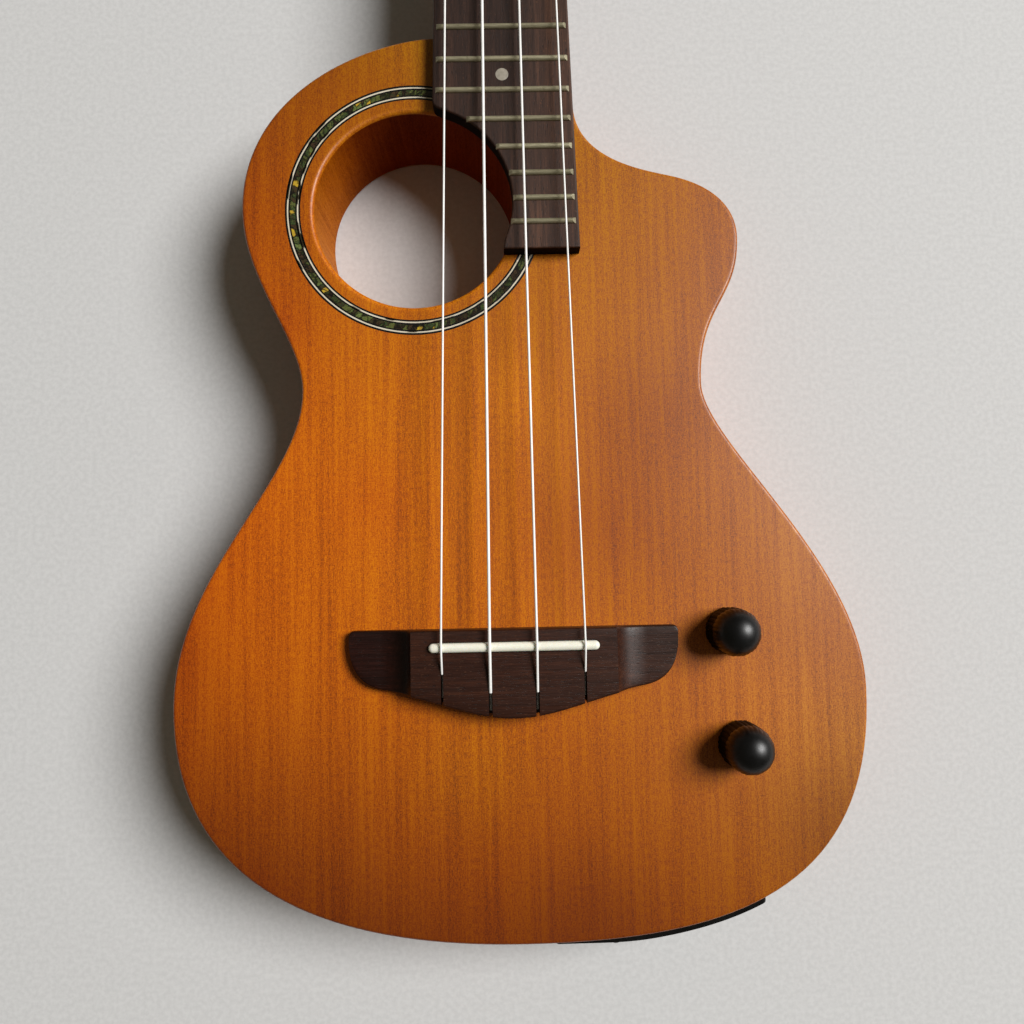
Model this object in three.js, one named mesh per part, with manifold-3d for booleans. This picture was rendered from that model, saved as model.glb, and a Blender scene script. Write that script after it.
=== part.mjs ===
// Thin-bodied electric tenor ukulele with a through-body hole beside the neck.
//
// Frame, in millimetres: the instrument lies on its back. X points to the right of the neck, Y points
// from the bridge to the headstock and Z points up out of the face. The back face is Z = 0. X = 0 is the
// centreline of the neck, and Y = 0 is where the open strings' scale length starts.

import * as THREE from 'three';
import { mergeVertices } from 'three/addons/utils/BufferGeometryUtils.js';
import Module from 'manifold-3d';

const wasm = await Module();
wasm.setup();

// ---------------------------------------------------------------- driving dimensions

const GAP = 0.3; // clearance between pieces that are cut to fit each other
const DEG = Math.PI / 180;

const SCALE_LENGTH = 430;
const FRET_COUNT = 20;
const BODY_DEPTH = 35;
const PLATE = 3; // thickness of the top and the back
const EDGE_RADIUS = 1.2; // rounding of the top's and the back's outer edge
const SIDE = 1.8; // thickness of the bent side
const LINING_WIDTH = 4;
const LINING_HEIGHT = 4;
const FACE = BODY_DEPTH; // height of the top's face
const CEILING = FACE - PLATE; // inner face of the top

// The body's outline, walked from the neck's left edge round the tail to the cutaway. Each anchor is
// x, y, the heading in degrees, and the lengths of the curve's handles before and after it.
const BODY_ANCHORS = [
  { x: -23.5, y: 203.6, heading: 184, before: 0, after: 26 },
  { x: -88.2, y: 144.7, heading: -90, before: 39, after: 25.5 }, // upper bout
  { x: -68, y: 81.5, heading: -90, before: 17.5, after: 29.5 }, // waist
  { x: -109.2, y: -20, heading: -90, before: 43, after: 57 }, // lower bout
  { x: 2.5, y: -96.2, heading: 0, before: 63, after: 63.5 }, // tail
  { x: 114, y: -18.5, heading: 90, before: 65, after: 41 }, // lower bout
  { x: 64.3, y: 82, heading: 90, before: 20, after: 27 }, // waist
  { x: 78.4, y: 132, heading: 90, before: 22, after: 9 }, // horn
  { x: 57, y: 153.5, heading: 166, before: 16, after: 9.5 }, // cutaway
  { x: 24, y: 180, heading: 90, before: 20.5, after: 0 },
];
const OUTLINE_STEPS = 8; // straight steps in each stretch between anchors

const HOLE = { x: -30.3, y: 143, radius: 33.8, wall: 1.4, bead: 1.3 };
const ROSETTE = { inner: 38.3, outer: 43.2, depth: 1.2 };

const BOARD = { end: 126.5, thickness: 5.5, halfAtBridge: 27.87, taper: 0.0253, cutRadius: 33, cutFoot: 132.5 };
const BOARD_TOP = FACE + BOARD.thickness;
const FRET = { width: 2.2, height: 1, inset: 1, cutInset: 0.25 };
const NUT = { thickness: 4.5, rise: 2.5 };
const NUT_END = SCALE_LENGTH + NUT.thickness;

const HEAD = { length: 140, face: 30, thickness: 13, halfWidth: 30 };
const HEAD_BACK = HEAD.face - HEAD.thickness;
const HEAD_END = NUT_END + HEAD.length;

const BRIDGE = { x: 0.27, blockHalf: 32.4, blockHeight: 7.6, wingHeight: 3.2, scoop: 9 };
const SADDLE = { half: 26.75, thickness: 2.9, y: -2.6, top: 9.45, seat: 3.4 };

// Strings from left to right: distance of each from the centreline at the saddle and at the nut, its
// radius, the width and the upper end of its slot in the bridge, and which tuner row holds it.
const STRINGS = {
  g: { saddleX: -22.4, nutX: -14.27, radius: 0.35, slot: 1, leavesBridge: -10.8, row: 0 },
  c: { saddleX: -7.35, nutX: -4.85, radius: 0.5, slot: 1.3, leavesBridge: -16.8, row: 1 },
  e: { saddleX: 7.35, nutX: 4.85, radius: 0.42, slot: 1.3, leavesBridge: -16.8, row: 1 },
  a: { saddleX: 22.4, nutX: 14.27, radius: 0.33, slot: 1, leavesBridge: -10.8, row: 0 },
};
const STRING_AT_SADDLE = FACE + 10; // height of the strings' centres
const STRING_AT_NUT = FACE + 7.5;
const STRING_AT_POST = HEAD.face + 6;
const STRING_SIDES = 8;

const TUNER_ROWS = [{ x: 17, y: NUT_END + 38 }, { x: 15, y: NUT_END + 84 }];
const TUNER = {
  postRadius: 3, postTop: 11, sleeveRadius: 4.6, housing: [13, 18, 9], axle: 4.8, axleRadius: 1.8,
  buttonStart: 34.5, buttonLength: 13, buttonHalf: 6.5, buttonThin: 3.4,
};

const KNOBS = { volume: { x: 69.6, y: 0.5 }, tone: { x: 72.2, y: -35.5 } };
const KNOB = { radius: 7.6, skirt: 9, height: 16.1, lift: 0.6, shaft: 2.9, dome: 7.3 };
const POT = { radius: 7.5, height: 9, collar: 5, bushing: 3.5, bushingTop: 1.6 };

// The plate on the lower side that carries the output jack and the battery drawer.
// It stands proud of the side, less at its left end than over the rest of its length.
const PLATE_BOX = { left: 12.5, right: 79.7, bottom: 4, top: 31 };
const PLATE_STAND = { least: 2, most: 3.2, rise: 30 };
const JACK = { x: 21.5, z: 17.5, bore: 3.25, bushing: 4.7, nut: 7, body: 7.4, seat: 98.9, front: 101.3 };
const BATTERY = { x: 47, width: 26.5, length: 48.5, height: 17.5, floor: 9 };
const TRAY_WALL = 1.2;
const DRAWER_FRONT = -90.5; // where the battery's bay starts, behind the plate

// ---------------------------------------------------------------- geometry helpers

/** A closed geometry with its equal vertices merged and only positions left. */
function merged(geometry) {
  const bare = geometry.clone();
  bare.deleteAttribute('normal');
  bare.deleteAttribute('uv');
  return mergeVertices(bare, 1e-4);
}

function toSolid(geometry) {
  const bare = merged(geometry);
  const vertProperties = new Float32Array(bare.attributes.position.array);
  const triVerts = new Uint32Array(bare.index.array);
  return new wasm.Manifold(new wasm.Mesh({ numProp: 3, vertProperties, triVerts }));
}

function toGeometry(solid) {
  const mesh = solid.getMesh();
  const geometry = new THREE.BufferGeometry();
  geometry.setAttribute('position', new THREE.BufferAttribute(new Float32Array(mesh.vertProperties), 3));
  geometry.setIndex(new THREE.BufferAttribute(new Uint32Array(mesh.triVerts), 1));
  geometry.computeVertexNormals();
  return geometry;
}

/** The first geometry with every other one cut away from it. */
function cut(geometry, ...tools) {
  let solid = toSolid(geometry);
  for (const tool of tools) {
    solid = solid.subtract(toSolid(tool));
  }
  return toGeometry(solid);
}

function join(geometry, ...others) {
  let solid = toSolid(geometry);
  for (const other of others) {
    solid = solid.add(toSolid(other));
  }
  return toGeometry(solid);
}

function common(geometry, other) {
  return toGeometry(toSolid(geometry).intersect(toSolid(other)));
}

/** A block between two opposite corners. */
function block(low, high) {
  const size = high.map((value, axis) => value - low[axis]);
  const centre = high.map((value, axis) => (value + low[axis]) / 2);
  return new THREE.BoxGeometry(...size).translate(...centre);
}

/** A solid turned about Z from [radius, z] pairs that start and end on the axis or close on themselves. */
function turned(profile, segments = 32) {
  const points = profile.map(([radius, z]) => new THREE.Vector2(radius, z));
  return new THREE.LatheGeometry(points, segments).rotateX(Math.PI / 2);
}

/** A ring or tube about Z: a closed rectangle turned round. */
function tube(inner, outer, low, high, segments) {
  return turned([[inner, low], [outer, low], [outer, high], [inner, high], [inner, low]], segments);
}

function rod(radius, low, high, segments = 24) {
  return turned([[0, low], [radius, low], [radius, high], [0, high]], segments);
}

/** A plan shape pulled up from one height to another. */
function raised(shape, low, high, curveSegments = 12) {
  const options = { depth: high - low, bevelEnabled: false, curveSegments };
  return new THREE.ExtrudeGeometry(shape, options).translate(0, 0, low);
}

/** A shape drawn in x and z, pulled along Y. */
function pulled(shape, from, to, curveSegments = 8) {
  const options = { depth: to - from, bevelEnabled: false, curveSegments };
  return new THREE.ExtrudeGeometry(shape, options).rotateX(Math.PI / 2).translate(0, to, 0);
}

/** Area of a closed loop of [x, y] points: positive when it runs anticlockwise. */
function loopArea(loop) {
  return THREE.ShapeUtils.area(loop);
}

/** A solid skinned over rings of equal point counts, closed by flat caps. */
function skinned(rings) {
  const count = rings[0].length;
  const positions = rings.flat().flatMap((point) => [point.x, point.y, point.z]);
  const faces = [];
  for (let ring = 0; ring + 1 < rings.length; ring += 1) {
    for (let point = 0; point < count; point += 1) {
      const a = ring * count + point;
      const b = ring * count + ((point + 1) % count);
      faces.push(a, b, b + count, a, b + count, a + count);
    }
  }
  const last = (rings.length - 1) * count;
  for (const [first, loop, flip] of [[0, rings[0], true], [last, rings.at(-1), false]]) {
    const flatLoop = flatten(loop);
    const anticlockwise = loopArea(flatLoop) > 0;
    for (const [a, b, c] of THREE.ShapeUtils.triangulateShape(flatLoop, [])) {
      const keep = anticlockwise !== flip;
      faces.push(first + a, first + (keep ? b : c), first + (keep ? c : b));
    }
  }
  const geometry = new THREE.BufferGeometry();
  geometry.setAttribute('position', new THREE.Float32BufferAttribute(positions, 3));
  geometry.setIndex(faces);
  return geometry;
}

/** A ring's points in its own plane: x and y for a level ring, x and -z for an upright one. */
function flatten(loop) {
  const level = loop.every((point) => Math.abs(point.z - loop[0].z) < 1e-6);
  return loop.map((point) => new THREE.Vector2(point.x, level ? point.y : -point.z));
}

// ---------------------------------------------------------------- outlines

/** The body's outline as [x, y] points, anticlockwise from the neck's left edge. */
function bodyOutline() {
  const path = new THREE.Path();
  path.moveTo(BODY_ANCHORS[0].x, BODY_ANCHORS[0].y);
  for (let index = 1; index < BODY_ANCHORS.length; index += 1) {
    const from = BODY_ANCHORS[index - 1];
    const to = BODY_ANCHORS[index];
    path.bezierCurveTo(
      from.x + from.after * Math.cos(from.heading * DEG),
      from.y + from.after * Math.sin(from.heading * DEG),
      to.x - to.before * Math.cos(to.heading * DEG),
      to.y - to.before * Math.sin(to.heading * DEG),
      to.x,
      to.y,
    );
  }
  return path.getPoints(OUTLINE_STEPS);
}

/** A loop moved inwards, or outwards by a negative distance. The distance is a number, or a function of x. */
function inset(loop, distance) {
  const at = typeof distance === 'number' ? () => distance : distance;
  const count = loop.length;
  return loop.map((point, index) => {
    const before = loop[(index + count - 1) % count];
    const after = loop[(index + 1) % count];
    const arriving = point.clone().sub(before).normalize();
    const leaving = after.clone().sub(point).normalize();
    const normal = new THREE.Vector2(-arriving.y - leaving.y, arriving.x + leaving.x).normalize();
    const stretch = 1 / Math.max(0.5, normal.dot(new THREE.Vector2(-arriving.y, arriving.x)));
    return point.clone().addScaledVector(normal, at(point.x) * stretch);
  });
}

const OUTLINE = bodyOutline();

function ringAt(loop, z) {
  return loop.map((point) => new THREE.Vector3(point.x, point.y, z));
}

/** The body's outline, inset by a distance, as a solid from one height to another. */
function outlineSolid(distance, low, high) {
  const loop = inset(OUTLINE, distance);
  return skinned([ringAt(loop, low), ringAt(loop, high)]);
}

function throughHole(radius) {
  return rod(radius, -1, FACE + 1, 48).translate(HOLE.x, HOLE.y, 0);
}

// ---------------------------------------------------------------- body

/** A flat plate with its outer edge rounded over on the side that faces away from the sides. */
function platePiece(inner, outer) {
  const direction = Math.sign(outer - inner);
  const rings = [ringAt(OUTLINE, inner)];
  for (const angle of [0, 30, 60, 90]) {
    const distance = EDGE_RADIUS * (1 - Math.cos(angle * DEG));
    const z = outer - direction * EDGE_RADIUS * (1 - Math.sin(angle * DEG));
    rings.push(ringAt(inset(OUTLINE, distance), z));
  }
  return skinned(direction > 0 ? rings : rings.reverse());
}

function topPlate() {
  const groove = tube(ROSETTE.inner - GAP, ROSETTE.outer + GAP, FACE - ROSETTE.depth, FACE + 1, 48);
  const potHoles = Object.values(KNOBS).map((knob) => (
    rod(POT.bushing + GAP, CEILING - 1, FACE + 1, 20).translate(knob.x, knob.y, 0)
  ));
  return cut(
    platePiece(CEILING, FACE),
    throughHole(HOLE.radius + HOLE.wall + GAP),
    groove.translate(HOLE.x, HOLE.y, 0),
    ...potHoles,
  );
}

function backPlate() {
  return cut(platePiece(PLATE, 0), throughHole(HOLE.radius + HOLE.wall + GAP));
}

/** Height range and place of the sleeve that the battery drawer slides in. */
const SLEEVE = {
  half: BATTERY.width / 2 + TRAY_WALL + 1.9,
  low: BATTERY.floor - TRAY_WALL - 1.4,
  high: BATTERY.floor + BATTERY.height + 1.4,
  back: DRAWER_FRONT + BATTERY.length + 6,
};

function sleeveBlock(margin, front) {
  return block(
    [BATTERY.x - SLEEVE.half - margin, front, SLEEVE.low - margin],
    [BATTERY.x + SLEEVE.half + margin, SLEEVE.back + margin, SLEEVE.high + margin],
  );
}

/** A round tool along Y at the output jack. */
function jackRod(radius, from, to) {
  return rod(radius, -to, -from, 24).rotateX(Math.PI / 2).translate(JACK.x, 0, JACK.z);
}

function sideRim() {
  return cut(
    outlineSolid(0, PLATE, CEILING),
    outlineSolid(SIDE, PLATE - 1, CEILING + 1),
    sleeveBlock(GAP, -110),
    jackRod(JACK.body + GAP, -110, -70),
  );
}

function neckBlockShape() {
  const shape = new THREE.Shape();
  shape.moveTo(-21, 215);
  shape.lineTo(-21, 177);
  shape.lineTo(3, 166);
  shape.lineTo(8, 152);
  shape.lineTo(22, 152);
  shape.lineTo(22, 215);
  return shape;
}

function neckBlock() {
  const inside = outlineSolid(SIDE + GAP, PLATE, CEILING);
  const trimmed = common(raised(neckBlockShape(), PLATE, CEILING), inside);
  return cut(trimmed, throughHole(HOLE.radius + HOLE.wall + GAP));
}

/** A strip that widens the glue joint between the side and one plate, broken at the neck block. */
function lining(low, high) {
  const outer = outlineSolid(SIDE + GAP, low, high);
  const inner = outlineSolid(SIDE + GAP + LINING_WIDTH, low - 1, high + 1);
  const neckRoom = block([-21 - GAP, 150, low - 1], [22 + GAP, 215, high + 1]);
  return cut(outer, inner, neckRoom, sleeveBlock(GAP, -110));
}

function tailBlock() {
  const reach = { left: -26, right: 9, front: -78 };
  const room = block(
    [reach.left, -110, PLATE + LINING_HEIGHT + GAP],
    [reach.right, reach.front, CEILING - LINING_HEIGHT - GAP],
  );
  return common(room, outlineSolid(SIDE + GAP, PLATE, CEILING));
}

function holeLiner() {
  const outer = HOLE.radius + HOLE.wall;
  const bead = HOLE.bead;
  const profile = [
    [HOLE.radius + bead, 0], [outer, 0], [outer, FACE], [HOLE.radius + bead, FACE],
    [HOLE.radius, FACE - bead], [HOLE.radius, bead], [HOLE.radius + bead, 0],
  ];
  return turned(profile, 48).translate(HOLE.x, HOLE.y, 0);
}

function rosette() {
  return tube(ROSETTE.inner, ROSETTE.outer, FACE - ROSETTE.depth, FACE, 48).translate(HOLE.x, HOLE.y, 0);
}

function bridgePatch() {
  return block([-42, -24, CEILING - 2], [42, 4, CEILING]);
}

// ---------------------------------------------------------------- neck and fingerboard

function boardHalf(y) {
  return BOARD.halfAtBridge - BOARD.taper * y;
}

/** An upright ring across the neck: flat on top, and a rounded belly below. */
function neckRing({ y, half, top, bottom, fullness }) {
  const points = [];
  const steps = 12;
  for (let step = 0; step <= steps; step += 1) {
    const angle = Math.PI * (step / steps);
    const x = half * Math.sign(Math.cos(angle)) * Math.abs(Math.cos(angle)) ** (2 / fullness);
    const drop = (top - bottom) * Math.sin(angle) ** (2 / fullness);
    points.push(new THREE.Vector3(x, y, top - drop));
  }
  return points;
}

function headstockShape() {
  const shape = new THREE.Shape();
  const start = NUT_END + 4;
  shape.moveTo(-17.5, start);
  shape.lineTo(17.5, start);
  shape.bezierCurveTo(19, start + 12, 27, start + 14, HEAD.halfWidth - 2, start + 26);
  shape.bezierCurveTo(26, start + 62, 27, start + 92, HEAD.halfWidth, HEAD_END - 14);
  shape.bezierCurveTo(20, HEAD_END - 13, 12, HEAD_END, 0, HEAD_END);
  shape.bezierCurveTo(-12, HEAD_END, -20, HEAD_END - 13, -HEAD.halfWidth, HEAD_END - 14);
  shape.bezierCurveTo(-27, start + 92, -26, start + 62, 2 - HEAD.halfWidth, start + 26);
  shape.bezierCurveTo(-27, start + 14, -19, start + 12, -17.5, start);
  return shape;
}

function neck() {
  const heelY = 172;
  const rings = [
    { y: heelY, half: boardHalf(heelY), top: FACE, bottom: 0, fullness: 5 },
    { y: 206, half: boardHalf(206), top: FACE, bottom: 0, fullness: 5 },
    { y: 214, half: boardHalf(214), top: FACE, bottom: 2.5, fullness: 4.4 },
    { y: 222, half: boardHalf(222), top: FACE, bottom: 8.5, fullness: 3.6 },
    { y: 231, half: boardHalf(231), top: FACE, bottom: 15, fullness: 3 },
    { y: 243, half: boardHalf(243), top: FACE, bottom: 19.2, fullness: 2.5 },
    { y: 260, half: boardHalf(260), top: FACE, bottom: 20.6, fullness: 2.3 },
    { y: 415, half: boardHalf(415), top: FACE, bottom: 22, fullness: 2.2 },
    { y: 428, half: boardHalf(428), top: FACE, bottom: 21, fullness: 2.3 },
    { y: NUT_END, half: boardHalf(NUT_END), top: FACE, bottom: 18.5, fullness: 2.8 },
    { y: NUT_END + 4, half: 17.4, top: FACE - 3, bottom: HEAD_BACK + 0.4, fullness: 4 },
    { y: NUT_END + 10, half: 18, top: HEAD.face, bottom: HEAD_BACK, fullness: 5 },
  ];
  const shaft = skinned(rings.map(neckRing));
  const blank = join(shaft, raised(headstockShape(), HEAD_BACK, HEAD.face, 8));
  const posts = tunerPlaces().map((place) => (
    rod(TUNER.sleeveRadius + GAP, HEAD_BACK - 1, HEAD.face + 1, 20).translate(place.x, place.y, 0)
  ));
  return cut(blank, outlineSolid(-GAP, -1, FACE + 1), ...posts);
}

/** Plan of the fingerboard: a tapered board whose left end is cut away round the hole. */
function boardShape() {
  const shape = new THREE.Shape();
  const lowAngle = Math.asin((BOARD.cutFoot - HOLE.y) / BOARD.cutRadius);
  const highAngle = 69 * DEG;
  shape.moveTo(-boardHalf(SCALE_LENGTH), SCALE_LENGTH);
  shape.lineTo(-boardHalf(177.4), 177.4);
  shape.lineTo(-22.4, 175.2);
  shape.absarc(HOLE.x, HOLE.y, BOARD.cutRadius, highAngle, lowAngle, true);
  shape.lineTo(-0.5, BOARD.end);
  shape.lineTo(boardHalf(BOARD.end), BOARD.end);
  shape.lineTo(boardHalf(SCALE_LENGTH), SCALE_LENGTH);
  return shape;
}

function fretY(number) {
  return SCALE_LENGTH / 2 ** (number / 12);
}

/** Where a fret starts on the left: at the board's edge, or at the cut round the hole. */
function fretStart(y) {
  const reach = BOARD.cutRadius ** 2 - (y - HOLE.y) ** 2;
  const edge = -boardHalf(y);
  const cutEdge = reach > 0 ? HOLE.x + Math.sqrt(reach) : edge;
  return Math.max(edge + FRET.inset, cutEdge + FRET.cutInset);
}

function fret(number) {
  const y = fretY(number);
  const rings = [];
  const start = fretStart(y);
  const end = boardHalf(y) - FRET.inset;
  const slope = 0.8; // how far the crown's ends lean in
  for (const [x, lean] of [[start, slope], [end, -slope]]) {
    const ring = [];
    for (let step = 0; step <= 6; step += 1) {
      const angle = Math.PI * (step / 6);
      const rise = FRET.height * Math.sin(angle);
      const across = y + (FRET.width / 2) * Math.cos(angle);
      ring.push(new THREE.Vector3(x + lean * Math.sin(angle), across, BOARD_TOP + rise));
    }
    rings.push(ring);
  }
  return endToEnd(rings);
}

/** A solid between two rings that face along X, each closed by a fan. */
function endToEnd([first, last]) {
  const count = first.length;
  const positions = [...first, ...last].flatMap((point) => [point.x, point.y, point.z]);
  const faces = [];
  for (let point = 0; point < count; point += 1) {
    const next = (point + 1) % count;
    faces.push(point, next, next + count, point, next + count, point + count);
  }
  for (let point = 1; point + 1 < count; point += 1) {
    faces.push(0, point + 1, point, count, count + point, count + point + 1);
  }
  const geometry = new THREE.BufferGeometry();
  geometry.setAttribute('position', new THREE.Float32BufferAttribute(positions, 3));
  geometry.setIndex(faces);
  return geometry;
}

function nut() {
  const half = boardHalf(SCALE_LENGTH);
  const crown = new THREE.Shape();
  crown.moveTo(-half, FACE);
  crown.lineTo(half, FACE);
  crown.lineTo(half, BOARD_TOP + 1.4);
  crown.quadraticCurveTo(half, BOARD_TOP + NUT.rise, half - 2, BOARD_TOP + NUT.rise);
  crown.lineTo(2 - half, BOARD_TOP + NUT.rise);
  crown.quadraticCurveTo(-half, BOARD_TOP + NUT.rise, -half, BOARD_TOP + 1.4);
  const blank = pulled(crown, SCALE_LENGTH, NUT_END, 3);
  const slots = Object.values(STRINGS).map(({ nutX, radius }) => block(
    [nutX - radius - 0.2, SCALE_LENGTH - 1, STRING_AT_NUT - radius - 0.15],
    [nutX + radius + 0.2, NUT_END + 1, FACE + 20],
  ));
  return cut(blank, ...slots);
}

// ---------------------------------------------------------------- bridge and strings

/** Plan of the bridge: straight above, and curved below with short rounded wings. */
function bridgeShape() {
  const shape = new THREE.Shape();
  shape.moveTo(-51.1, 2.8);
  shape.quadraticCurveTo(-52.5, 2.8, -52.5, 1.2);
  shape.bezierCurveTo(-52.9, -9, -49.5, -14.6, -40.5, -15.6);
  shape.bezierCurveTo(-26, -17.4, -14, -24.9, 0, -24.9);
  shape.bezierCurveTo(14, -24.9, 26, -17.4, 40.5, -15.6);
  shape.bezierCurveTo(49.5, -14.6, 52.9, -9, 52.5, 1.2);
  shape.quadraticCurveTo(52.5, 2.8, 51.1, 2.8);
  return shape;
}

/** Front view of the bridge: low wings that scoop up to the block in the middle. */
function bridgeProfile() {
  const { blockHalf, blockHeight, wingHeight, scoop } = BRIDGE;
  const low = FACE + wingHeight;
  const high = FACE + blockHeight;
  const shape = new THREE.Shape();
  shape.moveTo(-54, FACE - 1);
  shape.lineTo(54, FACE - 1);
  shape.lineTo(54, low);
  shape.lineTo(blockHalf + scoop, low);
  shape.quadraticCurveTo(blockHalf + 1.6, low + 0.6, blockHalf, high);
  shape.lineTo(-blockHalf, high);
  shape.quadraticCurveTo(-blockHalf - 1.6, low + 0.6, -blockHalf - scoop, low);
  shape.lineTo(-54, low);
  return shape;
}

function bridge() {
  const blank = common(raised(bridgeShape(), FACE, FACE + 12, 7), pulled(bridgeProfile(), -30, 8, 6));
  const saddleSlot = block(
    [-SADDLE.half - GAP, SADDLE.y - SADDLE.thickness / 2 - GAP, FACE + SADDLE.seat],
    [SADDLE.half + GAP, SADDLE.y + SADDLE.thickness / 2 + GAP, FACE + 12],
  );
  const slots = Object.values(STRINGS).map(({ saddleX, slot, leavesBridge }) => block(
    [saddleX - slot / 2 - BRIDGE.x, -30, FACE + 0.6],
    [saddleX + slot / 2 - BRIDGE.x, leavesBridge + 1, FACE + 12],
  ));
  return cut(blank, saddleSlot, ...slots).translate(BRIDGE.x, 0, 0);
}

function saddle() {
  const low = FACE + SADDLE.seat + 1.2;
  const high = FACE + SADDLE.top;
  const shape = new THREE.Shape();
  shape.moveTo(-SADDLE.half, low);
  shape.lineTo(SADDLE.half, low);
  shape.lineTo(SADDLE.half, high - 2.5);
  shape.quadraticCurveTo(SADDLE.half, high - 0.1, SADDLE.half - 2.5, high);
  shape.lineTo(2.5 - SADDLE.half, high);
  shape.quadraticCurveTo(-SADDLE.half, high - 0.1, -SADDLE.half, high - 2.5);
  const half = SADDLE.thickness / 2;
  return pulled(shape, SADDLE.y - half, SADDLE.y + half, 4).translate(BRIDGE.x, 0, 0);
}

/** The pickup strip under the saddle. */
function piezoStrip() {
  return block(
    [BRIDGE.x - SADDLE.half + 0.5, SADDLE.y - 1.2, FACE + SADDLE.seat],
    [BRIDGE.x + SADDLE.half - 0.5, SADDLE.y + 1.2, FACE + SADDLE.seat + 0.9],
  );
}

/** One string, from its knot in the bridge over the saddle and the nut to its post. */
function string({ saddleX, nutX, radius, leavesBridge, row }) {
  const side = Math.sign(saddleX);
  const post = TUNER_ROWS[row];
  const touch = TUNER.postRadius + radius + GAP;
  const lower = row === 0 ? -18.3 : -22.5;
  const stations = [
    [saddleX, lower, FACE + 4.6],
    [saddleX, leavesBridge - 1.5, FACE + 4.7],
    [saddleX, leavesBridge, FACE + 8.05],
    [saddleX, SADDLE.y - 1, STRING_AT_SADDLE],
    [saddleX, SADDLE.y + 1, STRING_AT_SADDLE],
    [nutX, SCALE_LENGTH, STRING_AT_NUT],
    [nutX, NUT_END - 1, STRING_AT_NUT - 0.08],
    [side * (post.x - touch), post.y - 2, STRING_AT_POST],
  ];
  const rings = stations.map(([x, y, z]) => {
    const ring = [];
    for (let corner = 0; corner < STRING_SIDES; corner += 1) {
      const angle = (-2 * Math.PI * corner) / STRING_SIDES;
      ring.push(new THREE.Vector3(x + radius * Math.cos(angle), y, z + radius * Math.sin(angle)));
    }
    return ring;
  });
  return skinned(rings);
}

// ---------------------------------------------------------------- tuners

function tunerPlaces() {
  return Object.entries(STRINGS).map(([name, { saddleX, row }]) => ({
    name, side: Math.sign(saddleX), x: Math.sign(saddleX) * TUNER_ROWS[row].x, y: TUNER_ROWS[row].y,
  }));
}

/** A round tool along X, from one distance outwards of the centreline to another. */
function axleRod(place, radius, from, to, segments = 16) {
  const z = HEAD_BACK - TUNER.axle;
  return rod(radius, from, to, segments).rotateY(place.side * Math.PI / 2).translate(0, place.y, z);
}

/** Sealed housing behind the headstock, with the sleeve that the post turns in. */
function tunerHousing(place) {
  const [width, length, height] = TUNER.housing;
  const box = block(
    [place.x - width / 2, place.y - length / 2, HEAD_BACK - height],
    [place.x + width / 2, place.y + length / 2, HEAD_BACK],
  );
  const sleeve = rod(TUNER.sleeveRadius, HEAD_BACK - 1, HEAD.face + 1.5, 20).translate(place.x, place.y, 0);
  const bore = rod(TUNER.postRadius + GAP, HEAD_BACK - 2.4, HEAD.face + 5, 16).translate(place.x, place.y, 0);
  const axleBore = axleRod(place, TUNER.axleRadius + GAP, Math.abs(place.x) + 3, 40);
  return cut(join(box, sleeve), bore, axleBore);
}

/** String post: a shaft with a waist that the string winds on. */
function tunerPost(place) {
  const radius = TUNER.postRadius;
  const base = HEAD_BACK - 2;
  const face = HEAD.face;
  const profile = [
    [0, base], [radius, base], [radius, face + 3.6], [radius - 0.6, face + 4.4],
    [radius - 0.6, face + 7.6], [radius, face + 8.6], [radius, face + TUNER.postTop - 0.8],
    [radius - 0.8, face + TUNER.postTop], [0, face + TUNER.postTop],
  ];
  return turned(profile, 16).translate(place.x, place.y, 0);
}

/** Button on its axle: a thin oval paddle to turn with two fingers. */
function tunerButton(place) {
  const { buttonStart, buttonLength, buttonHalf, buttonThin } = TUNER;
  const stations = [[0, 0.42], [0.14, 0.72], [0.42, 1], [0.74, 0.94], [0.93, 0.62], [1, 0.3]];
  const rings = stations.map(([along, size]) => {
    const ring = [];
    for (let corner = 0; corner < 12; corner += 1) {
      const angle = (2 * Math.PI * corner) / 12;
      const y = buttonHalf * size * Math.cos(angle);
      const z = buttonThin * Math.sqrt(size) * Math.sin(angle);
      ring.push(new THREE.Vector3(buttonStart + along * buttonLength, y, z));
    }
    return ring;
  });
  const paddle = endToEndMany(rings);
  if (place.side < 0) {
    paddle.rotateZ(Math.PI);
  }
  paddle.translate(0, place.y, HEAD_BACK - TUNER.axle);
  return join(paddle, axleRod(place, TUNER.axleRadius, Math.abs(place.x) + 3.4, buttonStart + 2));
}

/** A solid over several rings that face along X, closed by fans. */
function endToEndMany(rings) {
  const count = rings[0].length;
  const positions = rings.flat().flatMap((point) => [point.x, point.y, point.z]);
  const faces = [];
  for (let ring = 0; ring + 1 < rings.length; ring += 1) {
    for (let point = 0; point < count; point += 1) {
      const a = ring * count + point;
      const b = ring * count + ((point + 1) % count);
      faces.push(a, b, b + count, a, b + count, a + count);
    }
  }
  const last = (rings.length - 1) * count;
  for (let point = 1; point + 1 < count; point += 1) {
    faces.push(0, point + 1, point, last, last + point, last + point + 1);
  }
  const geometry = new THREE.BufferGeometry();
  geometry.setAttribute('position', new THREE.Float32BufferAttribute(positions, 3));
  geometry.setIndex(faces);
  return geometry;
}

// ---------------------------------------------------------------- controls and electrics

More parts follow.
